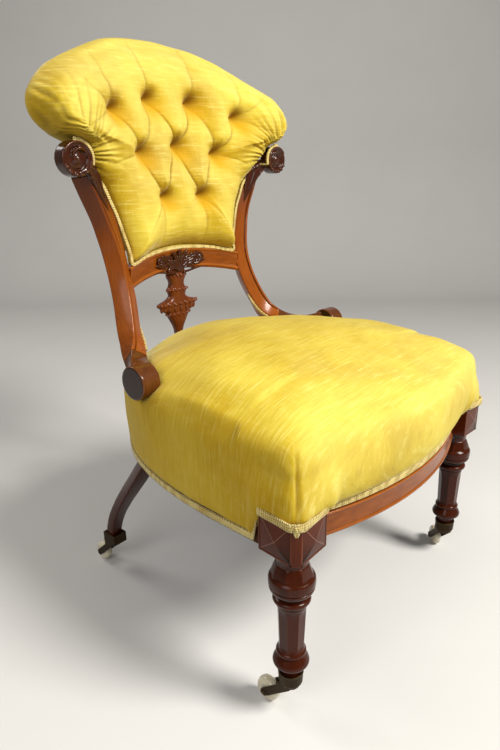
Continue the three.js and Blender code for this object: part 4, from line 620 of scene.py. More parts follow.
# %% Camera
camera_data = bpy.data.cameras.new("camera")
camera = bpy.data.objects.new("camera", camera_data)
scene.collection.objects.link(camera)
right = Vector((0.66540, -0.74639, -0.01190))
up = Vector((0.25067, 0.20840, 0.94537))
forward = Vector((0.70314, 0.63203, -0.32577))
camera_place = place(-686.748, -355.243, 662.364)
picture_height, focal_pixels, sensor_height = 750, 593.376, 24
turn = Matrix((right, up, -forward)).transposed().to_4x4()
camera.matrix_world = Matrix.Translation(camera_place) @ turn
camera_data.sensor_fit = "VERTICAL"
camera_data.sensor_height = sensor_height
camera_data.lens = focal_pixels / picture_height * sensor_height
camera_data.clip_start = 0.02
scene.camera = camera
scene.view_settings.view_transform = "Standard"


# %% Stage and lamps
def stage_material(name, colour, bounced):
    """Pale paper where it is seen, and a duller grey for the light that it throws back."""
    material, tree, shader, coords = principled(name)
    paper = ramp(tree, noise_node(tree, coords, 3.0, 3), [(0.3, times(colour, 0.97)), (0.7, colour)])
    ray = tree.nodes.new("ShaderNodeLightPath")
    mirrored = math_node(tree, "MAXIMUM", ray.outputs["Is Glossy Ray"], ray.outputs["Is Transmission Ray"])
    seen = math_node(tree, "MAXIMUM", ray.outputs["Is Camera Ray"], mirrored)
    tree.links.new(blend_colour(tree, seen, bounced, paper), shader.inputs["Base Color"])
    shader.inputs["Roughness"].default_value = 0.9
    return material


stage_front, stage_back, stage_half, wall_top, wall_curve = -2.6, 2.2, 5.0, 4.0, 0.8
curve = [(stage_back + wall_curve * math.sin(a), wall_curve - wall_curve * math.cos(a))
         for a in np.linspace(0.1, math.pi / 2, 14)]
profile = [(stage_front, 0.0), (stage_back, 0.0)] + curve + [(stage_back + wall_curve, wall_top)]
bm = bmesh.new()
line = [bmesh.ops.create_vert(bm, co=(-stage_half, y, z))["vert"][0] for y, z in profile]
run = [bm.edges.new((line[i], line[i + 1])) for i in range(len(line) - 1)]
swept = bmesh.ops.extrude_edge_only(bm, edges=run)["geom"]
far_line = [g for g in swept if isinstance(g, bmesh.types.BMVert)]
bmesh.ops.translate(bm, vec=(2 * stage_half, 0, 0), verts=far_line)
to_camera = Matrix.Rotation(math.radians(-48), 3, "Z")
bmesh.ops.rotate(bm, cent=(0, 0, 0), matrix=to_camera, verts=bm.verts)
bmesh.ops.recalc_face_normals(bm, faces=bm.faces)
floor = finish_mesh("floor", bm, 80)
floor.data.materials.append(stage_material("pale_floor", (0.8, 0.79, 0.77), (0.3, 0.29, 0.28)))
floor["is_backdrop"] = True
lamps_look_at = Vector((0, 0, 0.4))


def lamp(name, at, size, power, colour):
    data = bpy.data.lights.new(name, "AREA")
    data.shape = "DISK"
    data.size = size
    data.energy = power
    data.color = colour
    obj = bpy.data.objects.new(name, data)
    scene.collection.objects.link(obj)
    obj.location = at
    obj.rotation_euler = (lamps_look_at - Vector(at)).to_track_quat("-Z", "Y").to_euler()


lamp("key_lamp", (0.3, -1.8, 1.95), 0.8, 72, (1.0, 0.97, 0.91))
lamp("fill_lamp", (-2.0, -0.5, 1.5), 1.4, 15, (1.0, 0.98, 0.95))
lamp("rim_lamp", (-0.7, 2.0, 2.3), 1.2, 16, (1.0, 0.98, 0.95))
world = bpy.data.worlds.new("studio")
scene.world = world
world.use_nodes = True
background = world.node_tree.nodes["Background"]
background.inputs["Color"].default_value = (0.95, 0.93, 0.9, 1)
background.inputs["Strength"].default_value = 0.2
print("camera and lamps placed")

# %% [markdown]
# ## The hollow of the back
# The back of this chair curves round the sitter. Seen from above, its front is a shallow bowl
# that levels off at the wings, and it leans back as it rises. Every piece of the back is set on
# that surface, so it is written once.

# %% The back's surface
rail_bottom, rail_top = 248.0, 299.0
back_rise, back_half = 559.0, 248.0
back_plane, lean, hollow_radius = 382.0, 0.19, 325.0
padding = 58.0


def hollow(x):
    start, over = 0.807 * back_half, 0.161 * back_half
    inner = np.minimum(np.abs(x), start)
    past = np.clip(np.abs(x) - start, 0, over)
    return inner * inner / (2 * hollow_radius) + past * start / hollow_radius * (1 - past / over / 2)


def back_y(x, z):
    return back_plane + lean * (z - rail_top) - hollow(x)


def back_z(share):
    return rail_top + back_rise * share


# %% [markdown]
# ## The uprights
# Each upright is one sawn and moulded piece that runs from the carved scroll at the shoulder, in
# to the waist, then forward and out along the seat. Its path is the same smooth curve that the
# solids follow. The section has rounded corners and a scratched line near the outer edge.

# %% Path of the upright
upper_shares = [(0.692, 0.65), (0.653, 0.61), (0.586, 0.538), (0.543, 0.467), (0.523, 0.395)]
lower_shares = [(0.034, 0.106, 0.377), (0.147, 0.254, 0.755), (0.248, 0.377, 0.943), (0.442, 0.545, 1.06),
                (0.686, 0.75, 1.085), (0.876, 0.911, 1.04), (1, 1, 1)]
roll_radius, roll_length = 24.0, 30.0
roll = Vector((221.0, 262.0, 394.0))
path = [Vector((back_half * a, back_y(back_half * a, back_z(u)) - 1.5, back_z(u)))
        for a, u in upper_shares]
waist = path[-1].copy()
foot = Vector((roll.x, roll.y + roll_radius * 0.4, roll.z + roll_radius * 0.75))
path += [Vector([mix(waist[k], foot[k], s[k]) for k in range(3)]) for s in lower_shares]


def upright_point(t):
    """A point of the path, with the pull of each span set by its length."""
    place_on = (len(path) - 1) * min(max(t, 0), 1)
    i = min(int(place_on), len(path) - 2)
    w = place_on - i
    p1, p2 = path[i], path[i + 1]
    p0 = path[i - 1] if i > 0 else 2 * p1 - p2
    p3 = path[i + 2] if i + 2 < len(path) else 2 * p2 - p1
    d0, d1, d2 = [(b - a).length ** 0.5 for a, b in ((p0, p1), (p1, p2), (p2, p3))]
    m1 = ((p1 - p0) / d0 - (p2 - p0) / (d0 + d1) + (p2 - p1) / d1) * d1
    m2 = ((p2 - p1) / d1 - (p3 - p1) / (d1 + d2) + (p3 - p2) / d2) * d1
    return p1 + m1 * w + (-3 * p1 + 3 * p2 - 2 * m1 - m2) * w * w + (2 * p1 - 2 * p2 + m1 + m2) * w ** 3


face_turns = [0.9, 0.92, 0.74, 1.13, 1.3, 1.07, 1.1, 0.87, 0.6, 0.3, 0.1, 0]


def upright_frame(t):
    along = (upright_point(t + 1e-3) - upright_point(t - 1e-3)).normalized()
    slot = t * (len(face_turns) - 1)
    low = min(int(slot), len(face_turns) - 2)
    angle = math.radians(30) * mix(face_turns[low], face_turns[low + 1], smooth(0, 1, slot - low))
    across = Vector((math.cos(angle), -math.sin(angle), 0))
    across = (across - along * across.dot(along)).normalized()
    return upright_point(t), across, along.cross(across).normalized()


width, depth = 26.0, 29.0


def rounded_section(half_width, deep, radius=2.4, groove=True):
    """Rounded corners and one scratched line on the face, from the inner front corner round."""
    points = []
    corners = [(-half_width, 0, 180, 90), (half_width, 0, 90, 0), (half_width, -deep, 0, -90),
               (-half_width, -deep, -90, -180)]
    for k, (x, y, a0, a1) in enumerate(corners):
        cx = x + radius * (1 if x < 0 else -1)
        cy = y + radius * (1 if y < 0 else -1)
        for a in np.linspace(math.radians(a0), math.radians(a1), 5):
            points.append((cx + radius * math.cos(a), cy + radius * math.sin(a)))
        if k == 0 and groove:
            w = half_width - 5.2
            points += [(w - 1.9, 0), (w - 1.0, -1.8), (w, -2.2), (w + 0.9, -1.8), (w + 1.5, 0)]
    return points


def upright_rings(start, end, steps, groove=True):
    rings = []
    section = rounded_section(width / 2, depth, groove=groove)
    for i in range(steps + 1):
        at, across, front = upright_frame(mix(start, end, i / steps))
        rings.append([place(*(at + across * u + front * v)) for u, v in section])
    return rings


joint_share = 0.7
for side, hand in hands:
    bm = extrude_rings(bmesh.new(), upright_rings(0, joint_share, 110))
    mirror(bm, side)
    piece = finish_mesh("upright_" + hand + "_moulded", bm)
    finish_piece(piece, upright_wood, "walnut", "upright_" + hand)

# %% [markdown]
# ## The rolled feet
# Below the joint the upright curls into a roll that rests beside the seat. The bar and the roll
# are separate forms at first; a fine voxel skin grows them together, as if carved from one block.

# %% Rolled feet
seat_half, straight_to, seat_depth, seat_power = 240.0, 70.0, 375.0, 2.35


def seat_half_width(y):
    if y <= straight_to:
        return seat_half
    share = (y - straight_to) / seat_depth
    return seat_half * max(1 - share ** seat_power, 0) ** (1 / seat_power)


def roll_form():
    r, half = roll_radius, roll_length / 2
    profile = [(0, -half), (r - 2.2, -half), (r - 0.7, -half + 0.5), (r, -half + 1.8),
               (r, half - 1.8), (r - 0.7, half - 0.5), (r - 2.2, half), (0, half)]
    return spin_profile(bmesh.new(), profile, 56, (1, 0, 0), place(*roll))


def foot_forms():
    """The end of the bar, the roll, and the square post that stands inside the seat."""
    bm = extrude_rings(bmesh.new(), upright_rings(joint_share + 0.0006, 0.985, 40, False))
    append_part(bm, roll_form())
    y = roll.y + 13
    x = seat_half_width(y) - 12
    block = bmesh.ops.create_cube(bm, size=1.0)["verts"]
    low, high = place(x - 9, y - 13, rail_top + 0.4), place(x + 9, y + 13, 398)
    bmesh.ops.scale(bm, vec=high - low, verts=block)
    bmesh.ops.translate(bm, vec=(high + low) / 2, verts=block)
    return bm


for side, hand in hands:
    bm = foot_forms()
    mirror(bm, side)
    piece = fuse(finish_mesh("rolled_foot_" + hand, bm), 1.1, 2, 0.4)
    finish_piece(piece, roll_wood, "walnut", "lower_scroll_" + hand)

# %% [markdown]
# ## Front legs
# A front leg is turned in a lathe from a square blank, and the top is left square for the rails
# to meet in. The shaft and the neck are then planed to eight sides. The square top has its
# corner taken off and a low faceted boss on both outer faces; its lower edges slope up from the
# corner like a folded wing.

# %% Turned legs
front_half, rail_block = 222.0, 28.0


def leg_profile():
    runs = [
        [(0, 58), (12.5, 58)],
        [(12.5, 58), (12.5, 72), (14.2, 80), (15.5, 84)],
        [(19.0, 84.4), (21.8, 85.6), (22.9, 88.2), (22.6, 91), (21.0, 94.5), (18.8, 98.2), (17.6, 100.4)],
        [(17.3, 101), (18.6, 102.2), (18.7, 105), (17.2, 107)],
        [(16.6, 108), (16.1, 112), (16.4, 122), (17.2, 145), (18.0, 168), (18.1, 170.5)],
        [(18.7, 172), (19.3, 174.4), (18.9, 176.8)],
        [(19.4, 177.4), (22.0, 178.6), (23.4, 181.4), (22.6, 184.4), (19.8, 186.4)],
        [(18.4, 187.2), (17.9, 190), (19.4, 193)],
        [(23.0, 193.6), (26.0, 194.8), (27.6, 197.6), (28.0, 200.4)],
        [(27.3, 200.9), (27.5, 201.7), (28.3, 202.4)],
        [(28.5, 205), (28.6, 209), (28.2, 212.4), (27.2, 214.2)],
        [(26.4, 214.8), (24.8, 220), (22.6, 226), (20.8, 230.6)],
        [(19.9, 231.4), (19.5, 235), (20.2, 240), (22.4, 247), (22.6, 262), (0, 262)],
    ]
    points = []
    for run in runs:
        for p in (spline(run, 4) if len(run) > 3 else run):
            if not points or (Vector(p) - Vector(points[-1])).length > 0.05:
                points.append((max(float(p[0]), 0.0), float(p[1])))
    return points


def eight_sided(angle):
    """Radius of a regular eight-sided outline against its corners."""
    return math.cos(math.pi / 8) / math.cos(angle % (math.pi / 4) - math.pi / 8)


corner_cut = 8.0
inner_corner = rail_block - corner_cut


def flatness(z):
    """How far the turning is planed to eight sides at a height: all the shaft, and part of the neck."""
    shaft = smooth(108, 113, z) * (1 - smooth(165, 171, z))
    return shaft + 0.75 * smooth(214.6, 217, z) * (1 - smooth(228, 240, z))


def slope_under(bm, inward, across, corner):
    """Cuts the lower edge of the block so that it slopes up and away from its outer corner."""
    reach = 2 * rail_block - corner_cut
    slope = (Vector(inward) * reach * mm + Vector((0, 0, 2.5 * mm))).normalized()
    plane = slope.cross(Vector(across))
    if plane.z > 0:
        plane = -plane
    whole = bm.verts[:] + bm.edges[:] + bm.faces[:]
    cut = bmesh.ops.bisect_plane(bm, geom=whole, plane_co=[c * mm for c in corner], plane_no=plane,
                                 clear_outer=True)
    rim = [g for g in cut["geom_cut"] if isinstance(g, bmesh.types.BMEdge)]
    bmesh.ops.edgenet_fill(bm, edges=rim)


for side, hand in hands:
    bm = spin_profile(bmesh.new(), leg_profile(), 64)
    for v in bm.verts:
        flat = flatness(v.co.z / mm)
        if flat > 0 and math.hypot(v.co.x, v.co.y) > 0:
            k = mix(1, eight_sided(math.atan2(v.co.y, v.co.x) + math.pi / 8), flat)
            v.co.x, v.co.y = v.co.x * k, v.co.y * k
    bmesh.ops.translate(bm, vec=place(side * front_half, 0, 0), verts=bm.verts)
    piece = finish_mesh("turned_leg_" + hand, bm, 30)
    finish_piece(piece, leg_wood, "dark_walnut", "front_leg_" + hand)

    bm = bmesh.new()
    block = bmesh.ops.create_cube(bm, size=2 * rail_block * mm)["verts"]
    bmesh.ops.scale(bm, vec=(1, 1, (rail_top - rail_bottom) / (2 * rail_block)), verts=block)
    bmesh.ops.translate(bm, vec=(0, 0, (rail_top + rail_bottom) / 2 * mm), verts=block)
    near = [e for e in bm.edges if all(v.co.x > 0 and v.co.y < 0 for v in e.verts)]
    soften_edges(bm, near, corner_cut)
    slope_under(bm, (-1, 0, 0), (0, 1, 0), (inner_corner, -rail_block, rail_bottom))
    slope_under(bm, (0, 1, 0), (1, 0, 0), (rail_block, -inner_corner, rail_bottom))
    bmesh.ops.recalc_face_normals(bm, faces=bm.faces)
    soften_edges(bm, bm.edges[:], 0.7, 2)
    line = bm.faces.layers.float.new("line")
    for axis in (Vector((1, 0, 0)), Vector(toward_front)):
        outer = max((f for f in bm.faces if f.normal.dot(axis) > 0.99), key=lambda f: f.calc_area())
        for thickness, sunk in ((2.2, 0), (0.5, -0.7), (0.6, 0.5)):
            bmesh.ops.inset_individual(bm, faces=[outer], thickness=thickness * mm, depth=sunk * mm)
        poked = bmesh.ops.poke(bm, faces=[outer], offset=4.0 * mm, center_mode="MEAN_WEIGHTED")
        crest = list({e for v in poked["verts"] for e in v.link_edges})
        # The crest faces are marked for the pale line: worn ridge and painted highlight.
        for f in soften_edges(bm, crest, 0.3)["faces"]:
            f[line] = 0.8
    if side < 0:
        bmesh.ops.scale(bm, vec=(-1, 1, 1), verts=bm.verts)
    bmesh.ops.translate(bm, vec=place(side * front_half, 0, 0), verts=bm.verts)
    bmesh.ops.recalc_face_normals(bm, faces=bm.faces)
    piece = finish_mesh("leg_block_" + hand, bm, 12)
    finish_piece(piece, block_wood, "dark_walnut", "front_leg_" + hand)

# %% [markdown]
# ## Back legs
# A sabre leg is sawn from a wide plank to a double curve and its edges are rounded. Above the
# rails' lower edge it is a square post between them.

# %% Sabre legs
def seat_outline_normal(x, y):
    across, back = x / seat_half, (y - straight_to) / seat_depth
    power = seat_power - 1
    return Vector((across ** power / seat_half, back ** power / seat_depth, 0)).normalized()



post = 26.0
leg_y = 306.0
leg_x = seat_half_width(leg_y)
normal = seat_outline_normal(leg_x, leg_y)
leg_top = Vector((leg_x - normal.x * post / 2, leg_y - normal.y * post / 2, 0))
top_turn = math.atan2(normal.y, normal.x)
down = [0, 0.18, 0.36, 0.54, 0.72, 0.88, 1]
swing = [0, 0.22, 0.45, 0.67, 0.86, 0.97, 1]
widths = [0.97, 0.96, 0.93, 0.86, 0.8, 0.76, 0.74]
foot_x, foot_y, foot_z = 185, 419, 58
sawn = [(mix(leg_top.x, foot_x, d), mix(leg_top.y, foot_y, s), mix(rail_bottom, foot_z, d), post * w, d)
        for d, s, w in zip(down, swing, widths)]
stations = [(leg_top.x, leg_top.y, z, post - 0.2, 0) for z in (rail_top - 0.2, 262)]
stations += [tuple(s) for s in spline(sawn, 6)]
for side, hand in hands:
    rings = []
    for x, y, z, wide, d in stations:
        turned = top_turn * (1 - smooth(0, 1, d))
        u = Vector((math.cos(turned), math.sin(turned), 0))
        v = Vector((-math.sin(turned), math.cos(turned), 0))
        section = rounded_section(wide / 2, wide, 3.2, False)
        rings.append([place(*(Vector((x, y, z)) + u * a + v * (b + wide / 2))) for a, b in section])
    bm = extrude_rings(bmesh.new(), rings)
    mirror(bm, side)
    finish_piece(finish_mesh("sabre_leg_" + hand, bm), leg_wood, "dark_walnut", "rear_leg_" + hand)

# %% [markdown]
# ## Castors
# Each castor has a brass socket on the foot, a cast horn that turns under it, and a porcelain
# wheel on a pin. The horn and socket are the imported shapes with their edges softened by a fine
# skin. The wheel is turned afresh, with a rounded tread and a sunk face.

# %% Castors
trail, wheel_r, wheel_half = 36.0, 17.0, 7.5
castor_places = {"front_left": (222.0, 0.0, -45.0), "front_right": (-222.0, 0.0, 0.0),
                 "rear_left": (185.0, 419.0, 0.0), "rear_right": (-185.0, 419.0, 0.0)}
wheel_run = [(5.6, 6.6), (6.4, 7.2), (8.6, 7.5), (11.2, 7.1), (13.6, 6.4), (15.6, 4.9), (16.7, 2.6),
             (17.0, 0)]
tread = spline(wheel_run + [(r, -w) for r, w in wheel_run[-2::-1]], 3)
hub, bore = [(2.8, 5.6), (5.0, 5.9)], 2.75
wheel_ring = hub + [tuple(p) for p in tread] + [(r, -w) for r, w in hub[::-1]]
wheel_profile = [(max(r, bore), w) for r, w in wheel_ring] + [(bore, wheel_ring[0][1])]
pin_half = wheel_half + 1 + 3
pin_end = [(2.55, pin_half - 0.6), (2.4, pin_half + 0.1), (1.8, pin_half + 0.7), (0, pin_half + 0.9)]
pin_profile = [(r, -z) for r, z in pin_end[::-1]] + pin_end
for name, (x, y, degrees) in castor_places.items():
    angle = math.radians(degrees)
    centre = place(x - trail * math.sin(angle), y + trail * math.cos(angle), wheel_r)
    pin = Vector((math.cos(angle), math.sin(angle), 0))
    piece = finish_mesh("glazed_wheel_" + name, spin_profile(bmesh.new(), wheel_profile, 48, pin, centre), 50)
    finish_piece(piece, porcelain, "porcelain", "castor_wheel_" + name, body="wheel_" + name)
    piece = finish_mesh("wheel_pin_" + name, spin_profile(bmesh.new(), pin_profile, 20, pin, centre), 60)
    finish_piece(piece, brass, "dark_brass", "castor_axle_" + name, body="swivel_" + name)
    piece = fuse(finish_mesh("cast_horn_" + name, merged_copy("castor_horn_" + name)), 0.7, 3, 0.4)
    finish_piece(piece, brass, "dark_brass", "castor_horn_" + name, body="swivel_" + name)
    piece = fuse(finish_mesh("brass_socket_" + name, merged_copy("castor_socket_" + name)), 0.9, 2, 0.4)
    finish_piece(piece, brass, "dark_brass", "castor_socket_" + name)

# %% [markdown]
# ## Carving
# A carver models leaves and scrolls in the solid wood: a blade with a sunk vein, a ridge wound
# into a spiral, beads in a row. Here each is a simple form of its own, and a fine voxel skin then
# joins them as wood would be, with soft hollows where they meet.

# %% Carver's forms
def blade(bm, spine, widths, heights, across, out):
    """A leaf with a sunk vein, laid along a spine."""
    half = [(-1, 0), (-0.72, 0.78), (-0.34, 0.9), (0, 0.42), (0.34, 0.9), (0.72, 0.78), (1, 0),
            (0.6, -0.6), (-0.6, -0.6)]
    rings = []
    for p, w, h, a, n in zip(spine, widths, heights, across, out):
        rings.append([place(*(Vector(p) + Vector(a) * u * w + Vector(n) * v * h)) for u, v in half])
    append_part(bm, extrude_rings(bmesh.new(), rings))


def rope(bm, spine, radii, sides=8):
    """A round ridge along a path."""
    rings = []
    for i, p in enumerate(spine):
        along = (Vector(spine[min(i + 1, len(spine) - 1)]) - Vector(spine[max(i - 1, 0)])).normalized()
        side = along.cross(Vector((0, 1, 0)))
        side = side.normalized() if side.length > 1e-6 else Vector((1, 0, 0))
        other = along.cross(side).normalized()
        rings.append([place(*(Vector(p) + (side * math.cos(a) + other * math.sin(a)) * radii[i]))
                      for a in np.linspace(0, math.tau, sides, endpoint=False)])
    append_part(bm, extrude_rings(bmesh.new(), rings))


def bead(bm, at, radius, stretch=(1, 1, 1)):
    part = bmesh.new()
    bmesh.ops.create_icosphere(part, subdivisions=2, radius=radius * mm)
    bmesh.ops.scale(part, vec=stretch, verts=part.verts)
    bmesh.ops.translate(part, vec=place(*at), verts=part.verts)
    append_part(bm, part)


# %% [markdown]
# The scroll on each shoulder is a thick disc with a ridge at its rim. A leaf winds in to a round
# eye, beads follow the lower edge, and a leaf tip runs down on to the upright.

# %% Shoulder scrolls
volute = Vector((210.0, 387.95, 680.0))
rim = [(0, -11), (21.3, -11), (23.0, -9.8), (23.6, -8), (23.6, 7.4), (23.2, 9.8), (21.8, 11.0),
       (20.2, 10.6), (19.2, 8.2), (17.8, 5.6), (12, 4.4), (0, 4.4)]


def bulge(low, high, t):
    """A swelling that starts at one share of half a wave and ends at another."""
    return math.sin(math.pi * mix(low, high, t))


def round_eye(angle, radius, proud):
    """A point of the scroll, by its angle and distance from the eye."""
    return volute + Vector((radius * math.cos(angle), -proud, radius * math.sin(angle)))


def spiral_and_beads(bm):
    turns = np.linspace(0, 1, 44)
    wind = [round_eye(math.radians(205 - 590 * t), mix(17.6, 4.6, t ** 0.85), 5.4 + 4.2 * t)
            for t in turns]
    rope(bm, wind, [mix(3.1, 2.0, t) for t in turns])
    bead(bm, volute + Vector((0, -9.4, 0)), 4.3, (1, 0.9, 1))
    for k in range(5):
        bead(bm, round_eye(math.radians(235 + 24 * k), 20.8, 11.2), 2.5)
    rope(bm, [round_eye(a, 21.4, 11.4) for a in np.radians(np.linspace(30, 215, 30))], [1.7] * 30)


def leaves_round_eye(bm):
    share = np.linspace(0, 1, 12)
    for a0, a1, r0, r1 in ((150, 60, 15.5, 10), (120, 20, 12.5, 8)):
        spine = [round_eye(math.radians(mix(a0, a1, t)), mix(r0, r1, t), 9.2 + 1.5 * math.sin(math.pi * t))
                 for t in share]
        outs = [(s - volute).normalized() for s in spine]
        blade(bm, spine, [3.6 * bulge(0.08, 0.96, t) for t in share],
              [3.4 * bulge(0.15, 0.9, t) for t in share], outs, [toward_front] * 12)


def leaves_on_upright(bm):
    """Leaf tips that start at the scroll's edge and lie down along the upright, with beads."""
    leaves = ((0.5, 0.165, 12.5), (-9.5, 0.1, 5.2), (8.5, 0.085, 6.0), (12.5, 0.055, 4.6))
    for lean_out, reach, thick in leaves:
        spine, across, outs, wide, high = [], [], [], [], []
        for t in np.linspace(0, 1, 16):
            down = mix(-0.035, reach, t)
            at, side_way, front = upright_frame(max(down, 0))
            if down < 0:
                at = at + (volute - Vector((4, 0, 0)) - at) * (-down / 0.035) * 0.75
            spine.append(at + front * mix(3.0, 0.6, t) + side_way * lean_out * math.sin(math.pi * t))
            across.append(side_way)
            outs.append(front)
            wide.append(thick * bulge(0.3, 0.985, t))
            high.append((4.6 + 0.12 * abs(lean_out)) * bulge(0.35, 0.97, t))
        blade(bm, spine, wide, high, across, outs)
    for k in range(6):
        at, side_way, front = upright_frame(0.012 + 0.013 * k)
        bead(bm, at + side_way * (12.6 - 0.8 * k) + front * 2.6, 3.0 - 0.25 * k)
        bead(bm, at - side_way * (11.4 - 0.5 * k) + front * 3.0, 2.4 - 0.2 * k)


for side, hand in hands:
    bm = merged_copy("shoulder_scroll_left")
    append_part(bm, spin_profile(bmesh.new(), rim, 48, toward_front, place(*volute)))
    spiral_and_beads(bm)
    leaves_round_eye(bm)
    leaves_on_upright(bm)
    mirror(bm, side)
    piece = fuse(finish_mesh("carved_scroll_" + hand, bm), 0.85, 2, 0.35)
    finish_piece(piece, carved_wood, "dark_walnut", "shoulder_scroll_" + hand)

# %% [markdown]
# ## Cross rail
# The rail under the back is sawn to an arch and moulded along its lower edge. In the middle a
# palmette rises from the splat, with a leaf and a small curl on each side.

# %% Moulded rail
crown_z, rail_drop, arch_half, rail_height = 537.02, 13.5, 114.0, 34.0


def cross_top(x):
    return crown_z - rail_drop * (x / arch_half) ** 2


section = [(0.4, 0), (0, -0.6), (0, -3.2), (1.3, -4.6), (1.5, -6), (1.5, -24.6), (1.0, -26), (-0.6, -27),
           (-1.4, -28.6), (-1.2, -30.4), (0, -31.4), (0.2, -32.6), (1.2, -33.8), (3, -34), (19, -34),
           (21.4, -33), (22, -31), (22, -3), (21.4, -1), (19.4, 0)]
rings = []
for x in np.linspace(-122, 122, 71):
    top = cross_top(x) - 0.2
    y = back_y(x, top - rail_height / 2)
    rings.append([place(x, y + back, top + z) for back, z in section])
piece = finish_mesh("arched_rail", extrude_rings(bmesh.new(), rings), 50)
finish_piece(piece, rail_wood, "walnut", "cross_rail")

# %% Palmette and leaves
def on_rail(x, z, rise):
    return Vector((x, back_y(x, cross_top(x) - 17) + 1.0 - rise, z))


palmette_foot = 499.5
curl_x, curl_drop = 45, 15.5
fan = ((-74, 30, 4.4), (-48, 35, 4.6), (-22, 38, 4.6), (0, 37, 4.8), (22, 38, 4.6), (48, 35, 4.6),
       (74, 30, 4.4))
bm = bmesh.new()
share = np.linspace(0, 1, 16)
for angle, length, wide in fan:
    spine, ways = [], []
    for t in share:
        a = math.radians(angle) * mix(0.35, 1.15, t)
        foot_x = 2.5 * math.copysign(min(abs(angle) / 40, 1), angle) * (1 - t)
        spine.append(on_rail(length * t * math.sin(a) + foot_x, palmette_foot + length * t * math.cos(a),
                             2.2 + 3.2 * smooth(0.5, 1, t)))
    for i in range(16):
        way = (spine[min(i + 1, 15)] - spine[max(i - 1, 0)]).normalized()
        ways.append(way.cross(Vector((0, 1, 0))).normalized())
    blade(bm, spine, [wide * (0.3 + 0.7 * bulge(0.12, 0.78, t)) * (1 if t < 0.9 else 0.8) for t in share],
          [3.6 * (0.5 + 0.5 * bulge(0.1, 0.85, t)) for t in share], ways, [toward_front] * 16)
for side, _ in hands:
    share = np.linspace(0, 1, 14)
    for x0, z0, x1, z1, wide in ((8, -28, 42, -13, 7.0), (14, -14, 51, -8, 5.4), (26, -25, 57, -20, 4.4)):
        spine = []
        for t in share:
            x = side * mix(x0, x1, t)
            z = cross_top(x) + mix(z0, z1, smooth(0, 1, t))
            spine.append(on_rail(x, z, 1.2 + 2.4 * math.sin(math.pi * t)))
        blade(bm, spine, [wide * bulge(0.14, 0.97, t) * (1 + 0.22 * math.cos(t * 20)) for t in share],
              [3.2 * bulge(0.2, 0.93, t) for t in share], [(0, 0, 1)] * 14, [toward_front] * 14)
    share = np.linspace(0, 1, 30)
    curl_z = cross_top(curl_x) - curl_drop
    curl = []
    for t in share:
        a = math.radians(250 + 520 * t) * side
        r = mix(7.6, 2.2, t)
        curl.append(on_rail(side * curl_x + r * math.sin(a), curl_z + r * math.cos(a), 2.6 + 1.4 * t))
    rope(bm, curl, [mix(2.3, 1.5, t) for t in share])
    bead(bm, on_rail(side * curl_x, curl_z, 4.2), 2.4)
    for k in range(4):
        x = side * (22 + 6.2 * k)
        bead(bm, on_rail(x, cross_top(x) - 28.6, 2.2), 2.3 - 0.25 * k)
    share = np.linspace(0, 1, 18)
    sweep = [on_rail(side * mix(8, 62, t), mix(497, cross_top(62) - 31, smooth(0, 0.8, t)), 2.6 - 1.8 * t)
             for t in share]
    rope(bm, sweep, [mix(2.4, 1.1, t) for t in share])
piece = fuse(finish_mesh("carved_palmette", bm), 0.7, 1, 0.35)
finish_piece(piece, carved_wood, "dark_walnut", "cross_rail")

# %% [markdown]
# ## Splat
# The splat is a flat baluster: a collar of beads, a rope ring, a cup banded with leaves and a
# tapering foot cut into reeds. Its outline comes from the drawing.

# %% Splat
splat_z0, splat_z1, splat_front, splat_half = 299.3, 502.6, 424.0, 44.0
splat_shares = [(0, 0.4), (0.1, 0.3), (0.25, 0.19), (0.4, 0.16), (0.46, 0.19), (0.5, 0.25), (0.55, 0.38),
                (0.6, 0.54), (0.612, 0.62), (0.625, 0.58), (0.65, 0.78), (0.68, 0.94), (0.7, 1),
                (0.718, 0.98), (0.728, 0.78), (0.74, 0.56), (0.77, 0.38), (0.805, 0.44), (0.825, 0.52),
                (0.842, 0.4), (0.87, 0.34), (0.9, 0.36), (0.93, 0.46), (0.965, 0.46), (1, 0.4)]
ups, outs = np.array(splat_shares).T


def splat_width(share):
    return float(np.interp(share, ups, outs)) * splat_half


def splat_depth(half_width):
    return min(10.0, 4.2 + half_width * 0.36)


def squared(value):
    """Fills an ellipse out toward its box."""
    return math.copysign(abs(value) ** 0.8, value)


bm = bmesh.new()
rings = []
for share in np.linspace(0, 1, 96):
    w = splat_width(share)
    deep = splat_depth(w)
    reeds = smooth(0.04, 0.1, share) * (1 - smooth(0.56, 0.63, share))
    ring = []
    for a in np.linspace(0, math.tau, 64, endpoint=False):
        c, s = math.cos(a), math.sin(a)
        k = 1 - 0.1 * reeds * (0.5 - 0.5 * math.cos(a * 16)) * (1 if s < 0.3 else 0)
        ring.append(place(w * k * squared(c), splat_front + 10 + deep * k * squared(s),
                          mix(splat_z0, splat_z1, share)))
    rings.append(ring)
append_part(bm, extrude_rings(bmesh.new(), rings))
bead_rows = ((0.947, 8, 2.6, (1, 1, 1.1)), (0.825, 9, 2.7, (1, 1, 0.8)), (0.704, 11, 3.6, (1, 1, 1)),
             (0.665, 9, 3.2, (0.9, 1, 1.8)), (0.614, 8, 2.4, (1.2, 1, 0.8)))
for share, count, size, stretched in bead_rows:
    w = splat_width(share) + 0.4
    deep = splat_depth(w) + 0.3
    for k in range(count):
        a = math.pi + math.pi * (k + 0.5) / count
        at = (w * math.cos(a), splat_front + 10 + deep * math.sin(a), mix(splat_z0, splat_z1, share))
        bead(bm, at, size, stretched)
piece = fuse(finish_mesh("carved_splat", bm), 0.85, 1, 0.3)
finish_piece(piece, splat_wood, "dark_walnut", "splat")

# %% [markdown]
# ## Front rail and hidden frame
# Only the front rail shows: polished, with a bead along both edges, and a step above for the
# velvet. The other rails and the corner blocks keep their imported shapes: plain beech under the cloth, but
# the side rails in a very dark wood that is dark stain and painted shade under the seat.

